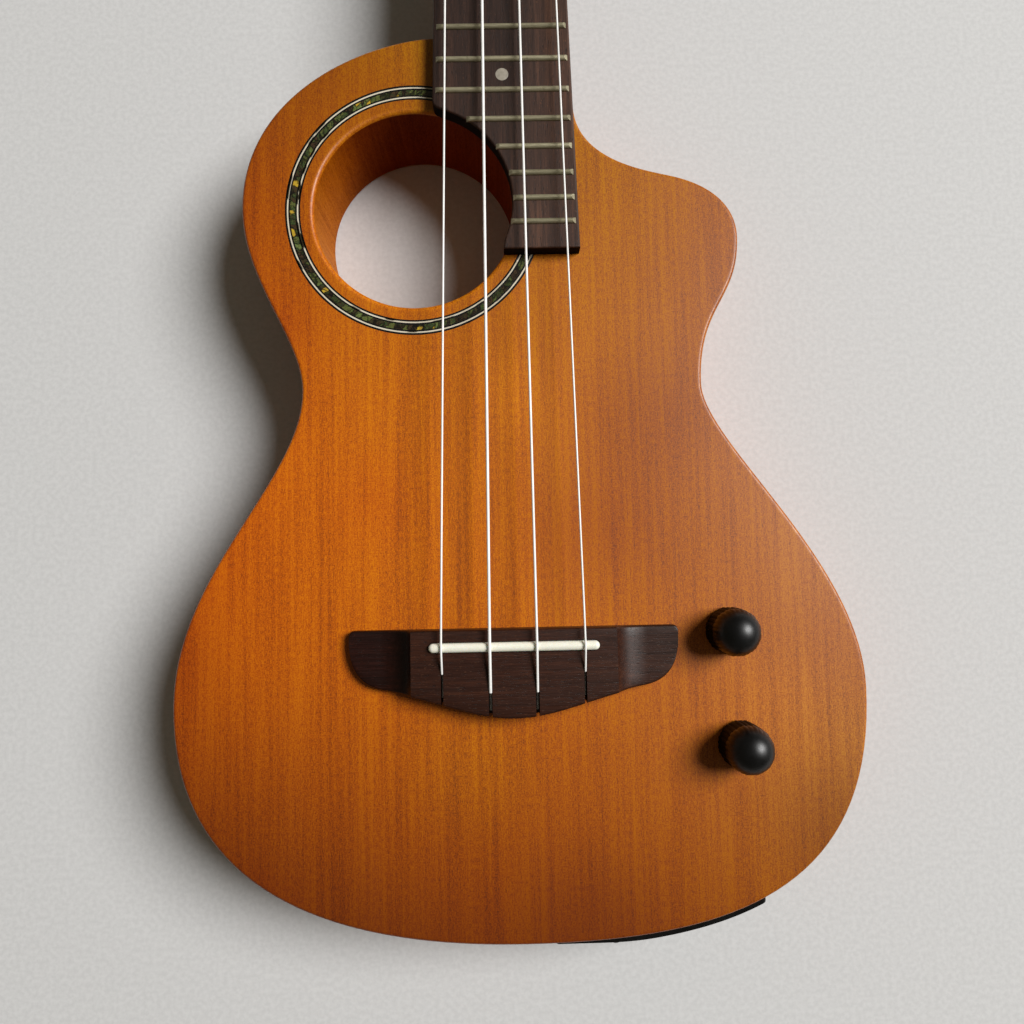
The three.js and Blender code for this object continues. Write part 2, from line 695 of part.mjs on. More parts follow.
/** Control knob: a straight skirt under a dome, on the shaft that turns in the pot. */
function knob(place) {
  const base = FACE + KNOB.lift;
  const top = base + KNOB.height;
  const skirt = base + KNOB.skirt;
  const profile = [
    [0, CEILING - 6], [KNOB.shaft, CEILING - 6], [KNOB.shaft, base + 2.6], [KNOB.radius - 1.2, base + 2.6],
    [KNOB.radius - 1.2, base], [KNOB.radius, base], [KNOB.radius - 0.1, skirt],
  ];
  for (const angle of [0, 18, 36, 54, 72, 90]) {
    profile.push([KNOB.dome * Math.cos(angle * DEG), skirt + (top - skirt) * Math.sin(angle * DEG)]);
  }
  profile.at(-1)[0] = 0;
  return turned(profile, 24).translate(place.x, place.y, 0);
}

/** Potentiometer under the top, with its threaded bushing standing through it. */
function pot(place) {
  const can = CEILING - 1.5;
  const bore = KNOB.shaft + GAP;
  const profile = [
    [0, can - POT.height], [POT.radius, can - POT.height], [POT.radius, can], [POT.collar, can],
    [POT.collar, CEILING], [POT.bushing, CEILING], [POT.bushing, FACE + POT.bushingTop],
    [bore, FACE + POT.bushingTop], [bore, CEILING - 7], [0, CEILING - 7],
  ];
  return turned(profile, 20).translate(place.x, place.y, 0);
}

/** How far out of the outline the jack plate's face lies, as an inset: negative, and smooth along x. */
function plateFace(x) {
  const along = THREE.MathUtils.smoothstep(x, PLATE_BOX.left, PLATE_BOX.left + PLATE_STAND.rise);
  return -THREE.MathUtils.lerp(PLATE_STAND.least, PLATE_STAND.most, along);
}

/** The curved plate's own body, between the side and its face. */
function plateStrip(low, high) {
  const band = cut(outlineSolid(plateFace, low, high), outlineSolid(-GAP, low - 1, high + 1));
  const window = block([PLATE_BOX.left, -110, low - 1], [PLATE_BOX.right, -70, high + 1]);
  return common(band, window);
}

function drawerBlock(margin) {
  const half = BATTERY.width / 2 + TRAY_WALL + margin;
  return block(
    [BATTERY.x - half, -110, BATTERY.floor - TRAY_WALL - margin],
    [BATTERY.x + half, SLEEVE.back + 1, BATTERY.floor + BATTERY.height + margin],
  );
}

/** Curved plate with the sleeve behind it that guides the battery drawer. */
function jackPlate() {
  const face = plateStrip(PLATE_BOX.bottom, PLATE_BOX.top);
  const sleeve = cut(sleeveBlock(0, -110), outlineBeyond((x) => plateFace(x) + 0.5));
  return cut(join(face, sleeve), drawerBlock(0.4), jackRod(JACK.bushing + GAP, -110, -70));
}

/** Everything outside an inset of the outline, down at the tail, as a cutting tool. */
function outlineBeyond(distance) {
  const slab = block([-20, -120, -1], [100, -60, FACE + 1]);
  return cut(slab, outlineSolid(distance, -2, FACE + 2));
}

/** Drawer for the battery: a tray open at the top, with a front that follows the plate. */
function batteryDrawer() {
  const outer = cut(drawerBlock(0), outlineBeyond(plateFace));
  const back = DRAWER_FRONT + BATTERY.length + 1;
  const bay = block(
    [BATTERY.x - BATTERY.width / 2 - GAP, DRAWER_FRONT, BATTERY.floor - 0.1],
    [BATTERY.x + BATTERY.width / 2 + GAP, back, FACE],
  );
  const room = block([0, back + TRAY_WALL, 0], [100, back + 40, FACE]);
  return cut(outer, bay, room);
}

function battery() {
  const half = BATTERY.width / 2;
  return block(
    [BATTERY.x - half, DRAWER_FRONT + GAP, BATTERY.floor],
    [BATTERY.x + half, DRAWER_FRONT + GAP + BATTERY.length, BATTERY.floor + BATTERY.height],
  );
}

/** Output jack: a bushing with a nut outside the plate and the contact barrel inside the body. */
function outputJack() {
  const { bore, bushing, nut: nutRadius, body, seat, front } = JACK;
  const inner = front - 34;
  const shoulder = 92.4;
  const profile = [
    [0, inner], [body, inner], [body, shoulder], [bushing, shoulder], [bushing, seat],
    [nutRadius, seat], [nutRadius, front], [bore, front], [bore, inner + 3], [0, inner + 3],
  ];
  return turned(profile, 24).rotateX(Math.PI / 2).translate(JACK.x, 0, JACK.z);
}

// ---------------------------------------------------------------- assembly

const FINISHES = {
  topWood: { color: 0xc47a2a, roughness: 0.42 },
  sideWood: { color: 0x8e4a1e, roughness: 0.45 },
  innerWood: { color: 0xc89b6a, roughness: 0.8 },
  neckWood: { color: 0x7a4526, roughness: 0.5 },
  darkWood: { color: 0x3c2a24, roughness: 0.6 },
  bone: { color: 0xe9e2cf, roughness: 0.35 },
  fretWire: { color: 0xb4b09c, roughness: 0.3, metalness: 1 },
  nylon: { color: 0xf2efe6, roughness: 0.3 },
  shell: { color: 0x5a6a55, roughness: 0.2 },
  blackRubber: { color: 0x161616, roughness: 0.8 },
  blackPlastic: { color: 0x1c1c1e, roughness: 0.45 },
  metal: { color: 0xc8c8c8, roughness: 0.25, metalness: 1 },
  castMetal: { color: 0x8f9092, roughness: 0.4, metalness: 1 },
};

const instrument = new THREE.Group();

function add(name, geometry, finish) {
  const mesh = new THREE.Mesh(geometry, new THREE.MeshStandardMaterial(FINISHES[finish]));
  mesh.name = name;
  instrument.add(mesh);
}

add('top_plate', topPlate(), 'topWood');
add('back_plate', backPlate(), 'sideWood');
add('side_rim', sideRim(), 'sideWood');
add('hole_liner', holeLiner(), 'sideWood');
add('rosette', rosette(), 'shell');
add('neck_block', neckBlock(), 'innerWood');
add('tail_block', tailBlock(), 'innerWood');
add('top_lining', lining(CEILING - LINING_HEIGHT, CEILING), 'innerWood');
add('back_lining', lining(PLATE, PLATE + LINING_HEIGHT), 'innerWood');
add('bridge_patch', bridgePatch(), 'innerWood');
add('neck', neck(), 'neckWood');
add('fingerboard', raised(boardShape(), FACE, BOARD_TOP, 28), 'darkWood');
add('nut', nut(), 'bone');
add('bridge', bridge(), 'darkWood');
add('saddle', saddle(), 'bone');
add('piezo_strip', piezoStrip(), 'metal');

for (let number = 1; number <= FRET_COUNT; number += 1) {
  add(`fret_${String(number).padStart(2, '0')}`, fret(number), 'fretWire');
}

for (const [name, spec] of Object.entries(STRINGS)) {
  add(`string_${name}`, string(spec), 'nylon');
}

for (const place of tunerPlaces()) {
  add(`tuner_${place.name}_housing`, tunerHousing(place), 'castMetal');
  add(`tuner_${place.name}_post`, tunerPost(place), 'metal');
  add(`tuner_${place.name}_button`, tunerButton(place), 'castMetal');
}

for (const [name, place] of Object.entries(KNOBS)) {
  add(`${name}_knob`, knob(place), 'blackRubber');
  add(`${name}_pot`, pot(place), 'metal');
}

add('jack_plate', jackPlate(), 'blackPlastic');
add('output_jack', outputJack(), 'metal');
add('battery_drawer', batteryDrawer(), 'blackPlastic');
add('battery', battery(), 'castMetal');

export default instrument;
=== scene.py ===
"""Thin-bodied electric tenor ukulele on its back: finer pieces and materials around the CAD frame.

Lengths are in millimetres until a mesh is made, in the CAD frame: X right, Y to the headstock, Z up.
"""
import math

import bmesh
import bpy
import numpy as np
from mathutils import Matrix, Vector
from mathutils.geometry import delaunay_2d_cdt


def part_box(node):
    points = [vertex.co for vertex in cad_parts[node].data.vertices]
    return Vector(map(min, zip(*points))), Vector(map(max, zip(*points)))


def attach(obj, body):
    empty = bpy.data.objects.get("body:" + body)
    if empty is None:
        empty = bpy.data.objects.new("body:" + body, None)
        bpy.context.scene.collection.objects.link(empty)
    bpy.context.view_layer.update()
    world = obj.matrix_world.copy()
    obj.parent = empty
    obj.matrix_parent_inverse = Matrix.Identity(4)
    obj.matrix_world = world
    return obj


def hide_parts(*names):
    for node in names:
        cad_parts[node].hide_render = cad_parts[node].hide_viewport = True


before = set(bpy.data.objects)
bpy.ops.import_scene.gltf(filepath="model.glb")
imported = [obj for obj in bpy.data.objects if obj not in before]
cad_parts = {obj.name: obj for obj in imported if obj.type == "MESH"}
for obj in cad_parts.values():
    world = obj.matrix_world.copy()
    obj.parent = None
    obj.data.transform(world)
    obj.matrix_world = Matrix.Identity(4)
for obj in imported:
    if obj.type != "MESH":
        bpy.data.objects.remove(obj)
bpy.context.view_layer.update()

MM = 0.001

# ------------------------------------------------------------------ dimensions

FACE = 35.0
PLATE = 3.0
CEILING = FACE - PLATE
EDGE_RADIUS = 1.2
SIDE = 1.8
# x, y, heading in degrees, handle before, handle after
ANCHORS = [
    (-23.5, 203.6, 184, 0, 26), (-88.2, 144.7, -90, 39, 25.5), (-68, 81.5, -90, 17.5, 29.5),
    (-109.2, -20, -90, 43, 57), (2.5, -96.2, 0, 63, 63.5), (114, -18.5, 90, 65, 41),
    (64.3, 82, 90, 20, 27), (78.4, 132, 90, 22, 9), (57, 153.5, 166, 16, 9.5), (24, 180, 90, 20.5, 0),
]
HOLE = (-30.3, 143.0)
HOLE_RADIUS = 33.8
HOLE_WALL = 1.4
BOARD_CUT = 33.0  # radius of the fingerboard's cut round the hole
BEAD = 1.5  # radius of the hole's rounded lip
HOLE_STEPS = 160
GROOVE = (38.25, 43.35)  # inner and outer radius of the rosette
GROOVE_DEPTH = 1.2
BOARD_END = 126.5
BOARD_TOP = FACE + 5.5
SCALE = 430.0  # from y = 0, where the frets are measured from, to the nut
NUT_END = 434.5
HEAD_FACE = 30.0
HEAD_BACK = 17.0
HEAD_END = NUT_END + 140
STRINGS = {  # x at the saddle, x at the nut, radius, slot width, upper end of the slot, tuner row
    "g": (-22.4, -14.27, 0.35, 0.8, -10.8, 0),
    "c": (-7.35, -4.85, 0.5, 1.15, -16.8, 1),
    "e": (7.35, 4.85, 0.42, 1.15, -16.8, 1),
    "a": (22.4, 14.27, 0.33, 0.8, -10.8, 0),
}
SADDLE_Y = -2.6
BRIDGE_X = 0.27
TUNER_ROWS = ((17, NUT_END + 38), (15, NUT_END + 84))
KNOBS = {"volume": (69.6, 0.5), "tone": (72.2, -35.5)}
JACK = (21.5, 17.5)
BATTERY_X = 47.0


def board_half(y):
    return 27.87 - 0.0253 * y


def fret_y(number):
    return SCALE / 2 ** (number / 12)


# ------------------------------------------------------------------ mesh building


class Shape:
    """Vertices in millimetres and faces with a material number each."""

    def __init__(self):
        self.verts = []
        self.faces = []
        self.mats = []

    def ring(self, points):
        start = len(self.verts)
        self.verts.extend(tuple(float(value) for value in point) for point in points)
        return list(range(start, len(self.verts)))

    def face(self, corners, mat=0):
        self.faces.append(tuple(corners))
        self.mats.append(mat)

    def quad(self, first, second, i, j, mat=0):
        """A face between two rings, at the places i and j of each."""
        self.face((first[i], first[j], second[j], second[i]), mat)

    def join(self, first, second, closed=True, mat=0):
        count = len(first)
        for i in range(count if closed else count - 1):
            self.quad(first, second, i, (i + 1) % count, mat)

    def skin(self, rings, closed=True, caps=(True, True), mat=0):
        """Rings of points joined one after the other; returns their vertex numbers."""
        made = [self.ring(points) for points in rings]
        for first, second in zip(made, made[1:]):
            self.join(first, second, closed, mat)
        if caps[0]:
            self.face(made[0], mat)
        if caps[1]:
            self.face(made[-1], mat)
        return made

    def hoop(self, rings, mat=0):
        """Rings of points joined one after the other, and the last to the first."""
        made = [self.ring(points) for points in rings]
        for first, second in zip(made, made[1:] + made[:1]):
            self.join(first, second, mat=mat)

    def slab(self, rings):
        """Rings of points joined one after the other, with a flat area at each end."""
        made = self.skin(rings, caps=(False, False))
        self.fill(made[0])
        self.fill(made[-1])

    def paint(self, mat, chosen):
        """Gives a material number to the faces whose corners pass a test."""
        for i, face in enumerate(self.faces):
            if chosen(np.array([self.verts[n] for n in face])):
                self.mats[i] = mat

    def fill(self, outer, holes=(), mat=0):
        """A flat area at one height between an outer ring and the rings of its holes."""
        numbers = list(outer) + [n for hole in holes for n in hole]
        flat = [Vector(self.verts[n][:2]) for n in numbers]
        edges = []
        start = 0
        for loop in [outer, *holes]:
            edges += [(start + i, start + (i + 1) % len(loop)) for i in range(len(loop))]
            start += len(loop)
        points, _, faces, origin, _, _ = delaunay_2d_cdt(flat, edges, [], 1, 1e-7)
        loops = [np.array([self.verts[n][:2] for n in loop]) for loop in [outer, *holes]]
        for face in faces:
            middle = sum((points[i] for i in face), Vector((0, 0))) / 3
            inside = [contains(loop, middle) for loop in loops]
            if inside[0] and not any(inside[1:]):
                self.face([numbers[origin[i][0]] for i in face], mat)


def contains(loop, point):
    x, y = loop[:, 0], loop[:, 1]
    x2, y2 = np.roll(x, -1), np.roll(y, -1)
    crosses = (y > point[1]) != (y2 > point[1])
    with np.errstate(divide="ignore", invalid="ignore"):
        at = x + (point[1] - y) * (x2 - x) / (y2 - y)
    return bool(np.sum(crosses & (point[0] < at)) % 2)


def add_object(name, data):
    thing = bpy.data.objects.new(name, data)
    bpy.context.scene.collection.objects.link(thing)
    return thing


def mesh_of(name, shape):
    mesh = bpy.data.meshes.new(name)
    mesh.from_pydata([(x * MM, y * MM, z * MM) for x, y, z in shape.verts], [], shape.faces)
    return mesh


def piece(name, shape, finishes, body="instrument", replaces=(), sharp=35, bevel=0.0, grain=None):
    """Makes the object of a shape, with its sharp edges rounded if bevel is more than 0."""
    mesh = mesh_of(name, shape)
    for finish in finishes if isinstance(finishes, list) else [finishes]:
        mesh.materials.append(finish.material)
    mesh.polygons.foreach_set("material_index", shape.mats)
    if grain is not None:
        layer = mesh.attributes.new("grain", "FLOAT_VECTOR", "POINT")
        layer.data.foreach_set("vector", np.asarray(grain, float).ravel() * MM)
    work = bmesh.new()
    work.from_mesh(mesh)
    if grain is None:
        bmesh.ops.remove_doubles(work, verts=work.verts, dist=1e-7)
    bmesh.ops.recalc_face_normals(work, faces=work.faces)
    if bevel:
        edges = [e for e in work.edges if len(e.link_faces) == 2 and e.calc_face_angle() > math.radians(30)]
        bmesh.ops.bevel(work, geom=edges, offset=bevel * MM, segments=3, affect="EDGES", profile=0.5,
                        clamp_overlap=True)
        bmesh.ops.recalc_face_normals(work, faces=work.faces)
    work.to_mesh(mesh)
    work.free()
    mesh.shade_smooth()
    mesh.set_sharp_from_angle(angle=math.radians(sharp))
    thing = add_object(name, mesh)
    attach(thing, body)
    if replaces:
        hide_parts(*replaces)
    return thing


def turn(steps):
    """Angles all the way round."""
    return np.linspace(0, 2 * np.pi, steps, endpoint=False)


def circle(cx, cy, radius, z, steps):
    angles = turn(steps)
    return np.column_stack([cx + radius * np.cos(angles), cy + radius * np.sin(angles), np.full(steps, z)])


def circle_about_y(cx, cz, radius, y, steps, phase=0.0):
    return [(cx + radius * math.cos(a + phase), y, cz + radius * math.sin(a + phase)) for a in turn(steps)]


def lathe(shape, cx, cy, base, profile, steps, caps=(True, True)):
    """A profile of (radius, height above the base) turned about a vertical axis."""
    shape.skin([circle(cx, cy, r, base + z, steps) for r, z in profile], caps=caps)


def ring_body(shape, cx, cy, inner, outer, low, high, mat=0):
    """A closed ring of rectangular section."""
    section = ((inner, low), (outer, low), (outer, high), (inner, high))
    shape.hoop([circle(cx, cy, r, z, HOLE_STEPS) for r, z in section], mat)


def rounded(radius, steps=4):
    """How far in and how far down a rounded edge lies, step by step from its side to its top."""
    angles = [math.pi / 2 * i / steps for i in range(steps + 1)]
    return [(radius * (1 - math.cos(a)), radius * (1 - math.sin(a))) for a in angles]


def box(shape, low, high, mat=0):
    (x0, y0, z0), (x1, y1, z1) = low, high
    shape.skin([[(x0, y0, z), (x1, y0, z), (x1, y1, z), (x0, y1, z)] for z in (z0, z1)], mat=mat)


def bezier(points, steps):
    t = np.linspace(0, 1, steps, endpoint=False)[:, None]
    a, b, c, d = (np.array(p, float) for p in points)
    return (1 - t) ** 3 * a + 3 * (1 - t) ** 2 * t * b + 3 * (1 - t) * t ** 2 * c + t ** 3 * d


def outline(steps=36):
    stretches = []
    for start, end in zip(ANCHORS, ANCHORS[1:]):
        out, into = math.radians(start[2]), math.radians(end[2])
        stretches.append(bezier([
            start[:2],
            (start[0] + start[4] * math.cos(out), start[1] + start[4] * math.sin(out)),
            (end[0] - end[3] * math.cos(into), end[1] - end[3] * math.sin(into)),
            end[:2],
        ], steps))
    stretches.append(np.array([ANCHORS[-1][:2]], float))
    return np.vstack(stretches)


def normals(loop):
    """Unit normals that point into an anticlockwise loop, and how far a corner's offset is stretched."""
    step = np.roll(loop, -1, 0) - loop
    step /= np.linalg.norm(step, axis=1)[:, None]
    before = np.roll(step, 1, 0)
    normal = np.column_stack([-before[:, 1] - step[:, 1], before[:, 0] + step[:, 0]])
    normal /= np.linalg.norm(normal, axis=1)[:, None]
    stretch = 1 / np.maximum(0.5, -normal[:, 0] * before[:, 1] + normal[:, 1] * before[:, 0])
    return normal, stretch


def inset(loop, distance):
    normal, stretch = normals(loop)
    return loop + normal * (stretch * distance)[:, None]


def at_height(loop, z):
    return np.column_stack([loop, np.full(len(loop), z)])


def eased(xs, ys, x):
    """Smooth interpolation through points, without overshoot."""
    xs, ys = np.asarray(xs, float), np.asarray(ys, float)
    slope = np.diff(ys) / np.diff(xs)
    tangent = np.zeros(len(xs))
    for i in range(1, len(xs) - 1):
        if slope[i - 1] * slope[i] > 0:
            tangent[i] = 2 / (1 / slope[i - 1] + 1 / slope[i])
    tangent[0], tangent[-1] = slope[0], slope[-1]
    i = int(np.clip(np.searchsorted(xs, x) - 1, 0, len(xs) - 2))
    width = xs[i + 1] - xs[i]
    t = (x - xs[i]) / width
    return float((2 * t ** 3 - 3 * t ** 2 + 1) * ys[i] + (t ** 3 - 2 * t ** 2 + t) * width * tangent[i]
                 + (3 * t ** 2 - 2 * t ** 3) * ys[i + 1] + (t ** 3 - t ** 2) * width * tangent[i + 1])


def tube_along(shape, path, radius, sides=12):
    """A round bar along a path of points."""
    path = np.asarray(path, float)
    ahead = np.gradient(path, axis=0)
    ahead /= np.linalg.norm(ahead, axis=1)[:, None]
    up = np.array([0.0, 0.0, 1.0])
    rings = []
    for point, way in zip(path, ahead):
        across = np.cross(way, up)
        if np.linalg.norm(across) < 0.3:
            across = np.cross(way, (0.0, 1.0, 0.0))
        across /= np.linalg.norm(across)
        up = np.cross(across, way)
        rings.append([point + radius * (math.cos(a) * across + math.sin(a) * up) for a in turn(sides)])
    shape.skin(rings)


# ------------------------------------------------------------------ materials


def linear(colour):
    """A linear colour from three sRGB numbers of 0 to 255; anything else stays as it is."""
    if not isinstance(colour, tuple) or len(colour) != 3:
        return colour
    return tuple(c / 12.92 if c <= 0.04045 else ((c + 0.055) / 1.055) ** 2.4
                 for c in (part / 255 for part in colour)) + (1.0,)


class Finish:
    """A node material with a few short ways to add nodes."""

    def __init__(self, name, **shader):
        self.material = bpy.data.materials.new(name)
        self.material.use_nodes = True
        self.tree = self.material.node_tree
        self.shader = self.tree.nodes["Principled BSDF"]
        self.set(**shader)
        self.place = self.add("ShaderNodeTexCoord").outputs["Object"]

    def add(self, kind, inputs=(), **props):
        node = self.tree.nodes.new(kind)
        for key, value in props.items():
            setattr(node, key, value)
        for key, value in dict(inputs).items():
            self.put(node.inputs[key], value)
        return node

    def put(self, socket, value):
        if isinstance(value, bpy.types.NodeSocket):
            self.tree.links.new(value, socket)
        else:
            socket.default_value = value

    def vector(self, operation, first, second=(0, 0, 0), output=0):
        return self.add("ShaderNodeVectorMath", {0: first, 1: second}, operation=operation).outputs[output]

    def parts(self, vector):
        return self.add("ShaderNodeSeparateXYZ", {0: vector}).outputs

    def joined(self, x, y, z=0.0):
        return self.add("ShaderNodeCombineXYZ", {0: x, 1: y, 2: z}).outputs[0]

    def noise(self, scale, detail=3.0, rough=0.55, where=None, twist=0.0):
        """Noise with its scale on each axis in cycles per millimetre."""
        vector = self.vector("MULTIPLY", where or self.place, [cycles / MM for cycles in scale])
        return self.add("ShaderNodeTexNoise", {
            "Vector": vector, "Scale": 1.0, "Detail": detail, "Roughness": rough, "Distortion": twist,
        }).outputs[0]

    def streaks(self, along, across, length, detail, rough, where=None, twist=0.0):
        """Noise with one scale along an axis and another across it."""
        return self.noise([length if axis == along else across for axis in "xyz"], detail, rough, where, twist)

    def math(self, operation, first, second=0.0):
        return self.add("ShaderNodeMath", {0: first, 1: second}, operation=operation).outputs[0]

    def plus(self, first, second):
        return self.math("ADD", first, second)

    def minus(self, first, second):
        return self.math("SUBTRACT", first, second)

    def times(self, first, second):
        return self.math("MULTIPLY", first, second)

    def spread(self, value, low, high, to_low=0.0, to_high=1.0, **props):
        return self.add("ShaderNodeMapRange", {
            "Value": value, "From Min": low, "From Max": high, "To Min": to_low, "To Max": to_high,
        }, **props).outputs[0]

    def ramp(self, value, stops):
        node = self.add("ShaderNodeValToRGB", {"Fac": value})
        elements = node.color_ramp.elements
        while len(elements) < len(stops):
            elements.new(0.5)
        for element, (position, colour) in zip(elements, stops):
            element.position = position
            element.color = linear(colour)
        return node.outputs[0]

    def blend(self, factor, first, second, how="MIX"):
        node = self.add("ShaderNodeMix", data_type="RGBA", blend_type=how)
        self.put(node.inputs[0], factor)
        self.put(node.inputs[6], linear(first))
        self.put(node.inputs[7], linear(second))
        return node.outputs[2]

    def tinted(self, factor, colour, tint):
        """The colour multiplied by the tint, as far as the factor says."""
        return self.blend(factor, colour, self.blend(1.0, colour, tint, "MULTIPLY"))

    def apart(self, x, y, z=0.0):
        """The distance in metres from a point, or from a vertical line where z isn't given."""
        place = self.place
        if not z:
            place = self.joined(*self.parts(place)[:2])
        return self.vector("DISTANCE", place, (x * MM, y * MM, z * MM), "Value")

    def set(self, **values):
        for key, value in values.items():
            self.put(self.shader.inputs[key.replace("_", " ")], value)

    def bump(self, height, strength, distance):
        bump = self.add("ShaderNodeBump", {"Height": height, "Strength": strength, "Distance": distance * MM})
        self.set(Normal=bump.outputs[0])


def grey(value):
    return (value, value, value, 1.0)


def stained_wood(name, light, middle, dark, along, roughness=0.42, where=None, contrast=1.0, hue=None,
                 gloss=0.28):
    """Fine straight-grained wood under a satin stain. along is the axis that the grain follows."""
    finish = Finish(name, Specular_IOR_Level=gloss)
    if where == "grain":
        where = finish.add("ShaderNodeAttribute", attribute_name="grain").outputs["Vector"]
    bands = finish.streaks(along, 0.075, 0.0035, 3.0, 0.6, where, 0.3)
    lines = finish.streaks(along, 0.62, 0.016, 4.0, 0.68, where, 0.15)
    fibres = finish.streaks(along, 2.4, 0.55, 2.0, 0.6, where)
    grains = finish.streaks(along, 3.2, 2.2, 0.0, 0.5, where)
    flecks = finish.streaks(along, 2.0, 0.42, 1.0, 0.5, where)
    cloud = finish.streaks(along, 0.022, 0.012, 2.0, 0.5, where)
    tone = finish.minus(finish.times(finish.spread(bands, 0.3, 0.7), 0.2), 0.48 * (contrast - 1))
    for part, low, high, weight in ((lines, 0.3, 0.7, 0.34 * contrast), (fibres, 0.32, 0.68, 0.32 * contrast),
                                    (grains, 0.3, 0.7, 0.3 * contrast), (cloud, 0.35, 0.65, 0.14)):
        tone = finish.plus(tone, finish.times(finish.spread(part, low, high), weight))
    colour = finish.ramp(tone, [(0.18, dark), (0.6, middle), (1.0, light)])
    speck = finish.spread(flecks, 0.68, 0.75)
    colour = finish.blend(finish.times(speck, 0.6), colour, dark)
    if hue is not None:
        colour = hue(finish, colour)
    finish.set(Base_Color=colour, Roughness=finish.spread(
        finish.plus(lines, fibres), 0.7, 1.3, roughness + 0.06, roughness - 0.05))
    height = finish.plus(finish.times(lines, 0.6), finish.times(fibres, 0.4))
    finish.bump(height, 0.35, 0.035)
    return finish


# how the top's colour strength runs over it, partly uneven stain and partly painted light and shade: powers of x and
# of y - 50 mm, in units of 100 mm, with the terms for red and green that add up to the logarithm of what the colour
# is multiplied by
STAIN_AND_SHADE = (
    (0, 0, -0.125, 0.02), (0, 1, -0.108, -0.016), (0, 2, -0.296, -0.306), (0, 3, 0.173, 0.241),
    (1, 0, -0.33, -0.252), (1, 1, -0.046, -0.061), (1, 2, 0.317, 0.337), (2, 0, -0.144, -0.298),
    (2, 1, -0.012, -0.236), (3, 0, 0.229, 0.359),
)

# places where it is lighter or darker, partly uneven stain and partly painted light and shade: x, y, reach, and the
# factors there for red and green
STAIN_AND_SHADE_PATCHES = (
    (28, 36, 44, 0.78, 0.68), (110, -68, 36, 0.68, 0.6), (-50, 188, 30, 0.92, 0.82), (-14, -42, 32, 1.08, 1.26),
    (82, -26, 30, 1.18, 1.24), (-88, -92, 30, 0.96, 0.7), (-76, 104, 22, 0.9, 0.78), (118, 0, 36, 0.9, 0.8),
    (-116, -4, 26, 0.85, 0.78), (22, -88, 34, 0.8, 0.74), (46, 73, 34, 0.84, 0.77), (1, 79, 20, 1.13, 1.18),
    (96, -50, 40, 0.92, 0.94), (-44, 44, 26, 0.96, 0.86),
)
# what the colour at the hole's lip is multiplied by: a painted highlight along its rounded edge
PAINTED_LIP_HIGHLIGHT = (1.22, 1.3, 2.2, 1)
# centre of a painted sheen: the colour paler and bluer over the top's lower right
PAINTED_SHEEN_AREA = (98, -24)
BLEMISH = (31.2, -95.8)


def top_hue(finish, colour):
    """The top's colour: uneven stain with painted light and shade in it, a painted highlight at the lip of the hole,
    a painted sheen low on the right, and one light blemish.
    """
    parts = finish.parts(finish.place)
    x = finish.times(parts[0], 10)
    y = finish.times(finish.minus(parts[1], 0.05), 10)
    powers = {}
    # a smooth field of uneven stain and painted light and shade together
    for i, j, _, _ in STAIN_AND_SHADE:
        powers[i, j] = finish.times(powers[i - 1, j], x) if i else (
            finish.times(powers[0, j - 1], y) if j else finish.plus(1.0, 0.0))
    strengths = []
    for channel in (2, 3):
        total = None
        for term in STAIN_AND_SHADE:
            part = finish.times(powers[term[:2]], term[channel])
            total = part if total is None else finish.plus(total, part)
        strengths.append(finish.math("EXPONENT", total))
    red, green = strengths
    colour = finish.blend(1.0, colour, finish.joined(red, green, green), "MULTIPLY")
    for x, y, reach, red, green in STAIN_AND_SHADE_PATCHES:
        patch = finish.spread(finish.apart(x, y, FACE), reach * MM, 0.0, interpolation_type="SMOOTHSTEP")
        colour = finish.tinted(patch, colour, (red, green, green, 1))
    # painted highlight: the rounded lip of the hole made paler and whiter
    lip = finish.spread(finish.apart(*HOLE), (HOLE_RADIUS + 1.9) * MM, (HOLE_RADIUS + 0.9) * MM)
    colour = finish.tinted(lip, colour, PAINTED_LIP_HIGHLIGHT)
    # painted sheen: blue raised towards the lower right, where the light is reflected
    pale = finish.spread(finish.apart(*PAINTED_SHEEN_AREA, FACE), 0.065, 0.01)
    colour = finish.tinted(pale, colour, (1, 1, 7, 1))
    blemish = finish.spread(finish.apart(*BLEMISH, FACE), 0.0009, 0.0003, 0.0, 0.6)
    return finish.blend(blemish, colour, (226, 150, 84))


def wall_shade(finish, colour):
    """Painted shade in the hole: the wall darker towards the hole's upper right, the side turned away from the
    light.
    """
    parts = finish.parts(finish.place)
    across = finish.plus(finish.times(parts[0], 0.8), finish.times(parts[1], 0.6))
    depth = finish.ramp(finish.spread(across, 0.028, 0.085), [
        (0.0, (0.96, 0.9, 0.7, 1)), (0.3, (0.66, 0.52, 0.35, 1)), (0.65, (0.38, 0.2, 0.12, 1)),
        (1.0, (0.36, 0.19, 0.13, 1))])
    return finish.blend(1.0, colour, depth, "MULTIPLY")


top_wood = stained_wood("top_wood", (218, 120, 9), (194, 93, 3), (144, 65, 1), "y",
                        roughness=0.38, hue=top_hue, gloss=0.40, contrast=1.35)
side_wood = stained_wood("side_wood", (190, 98, 18), (162, 74, 8), (110, 42, 3), "x",
                         where="grain")
back_wood = stained_wood("back_wood", (190, 98, 18), (162, 74, 8), (110, 42, 3), "y")
# the wood in the hole, with painted shade towards the hole's upper right
wall_wood = stained_wood("wall_wood", (206, 126, 8), (176, 98, 3), (124, 60, 1), "z",
                         roughness=0.5, hue=wall_shade, gloss=0.03)
neck_wood = stained_wood("neck_wood", (132, 66, 24), (100, 46, 16), (60, 26, 9), "y")
inner_wood = stained_wood("inner_wood", (226, 184, 132), (204, 156, 104), (160, 112, 66), "x",
                          roughness=0.75)


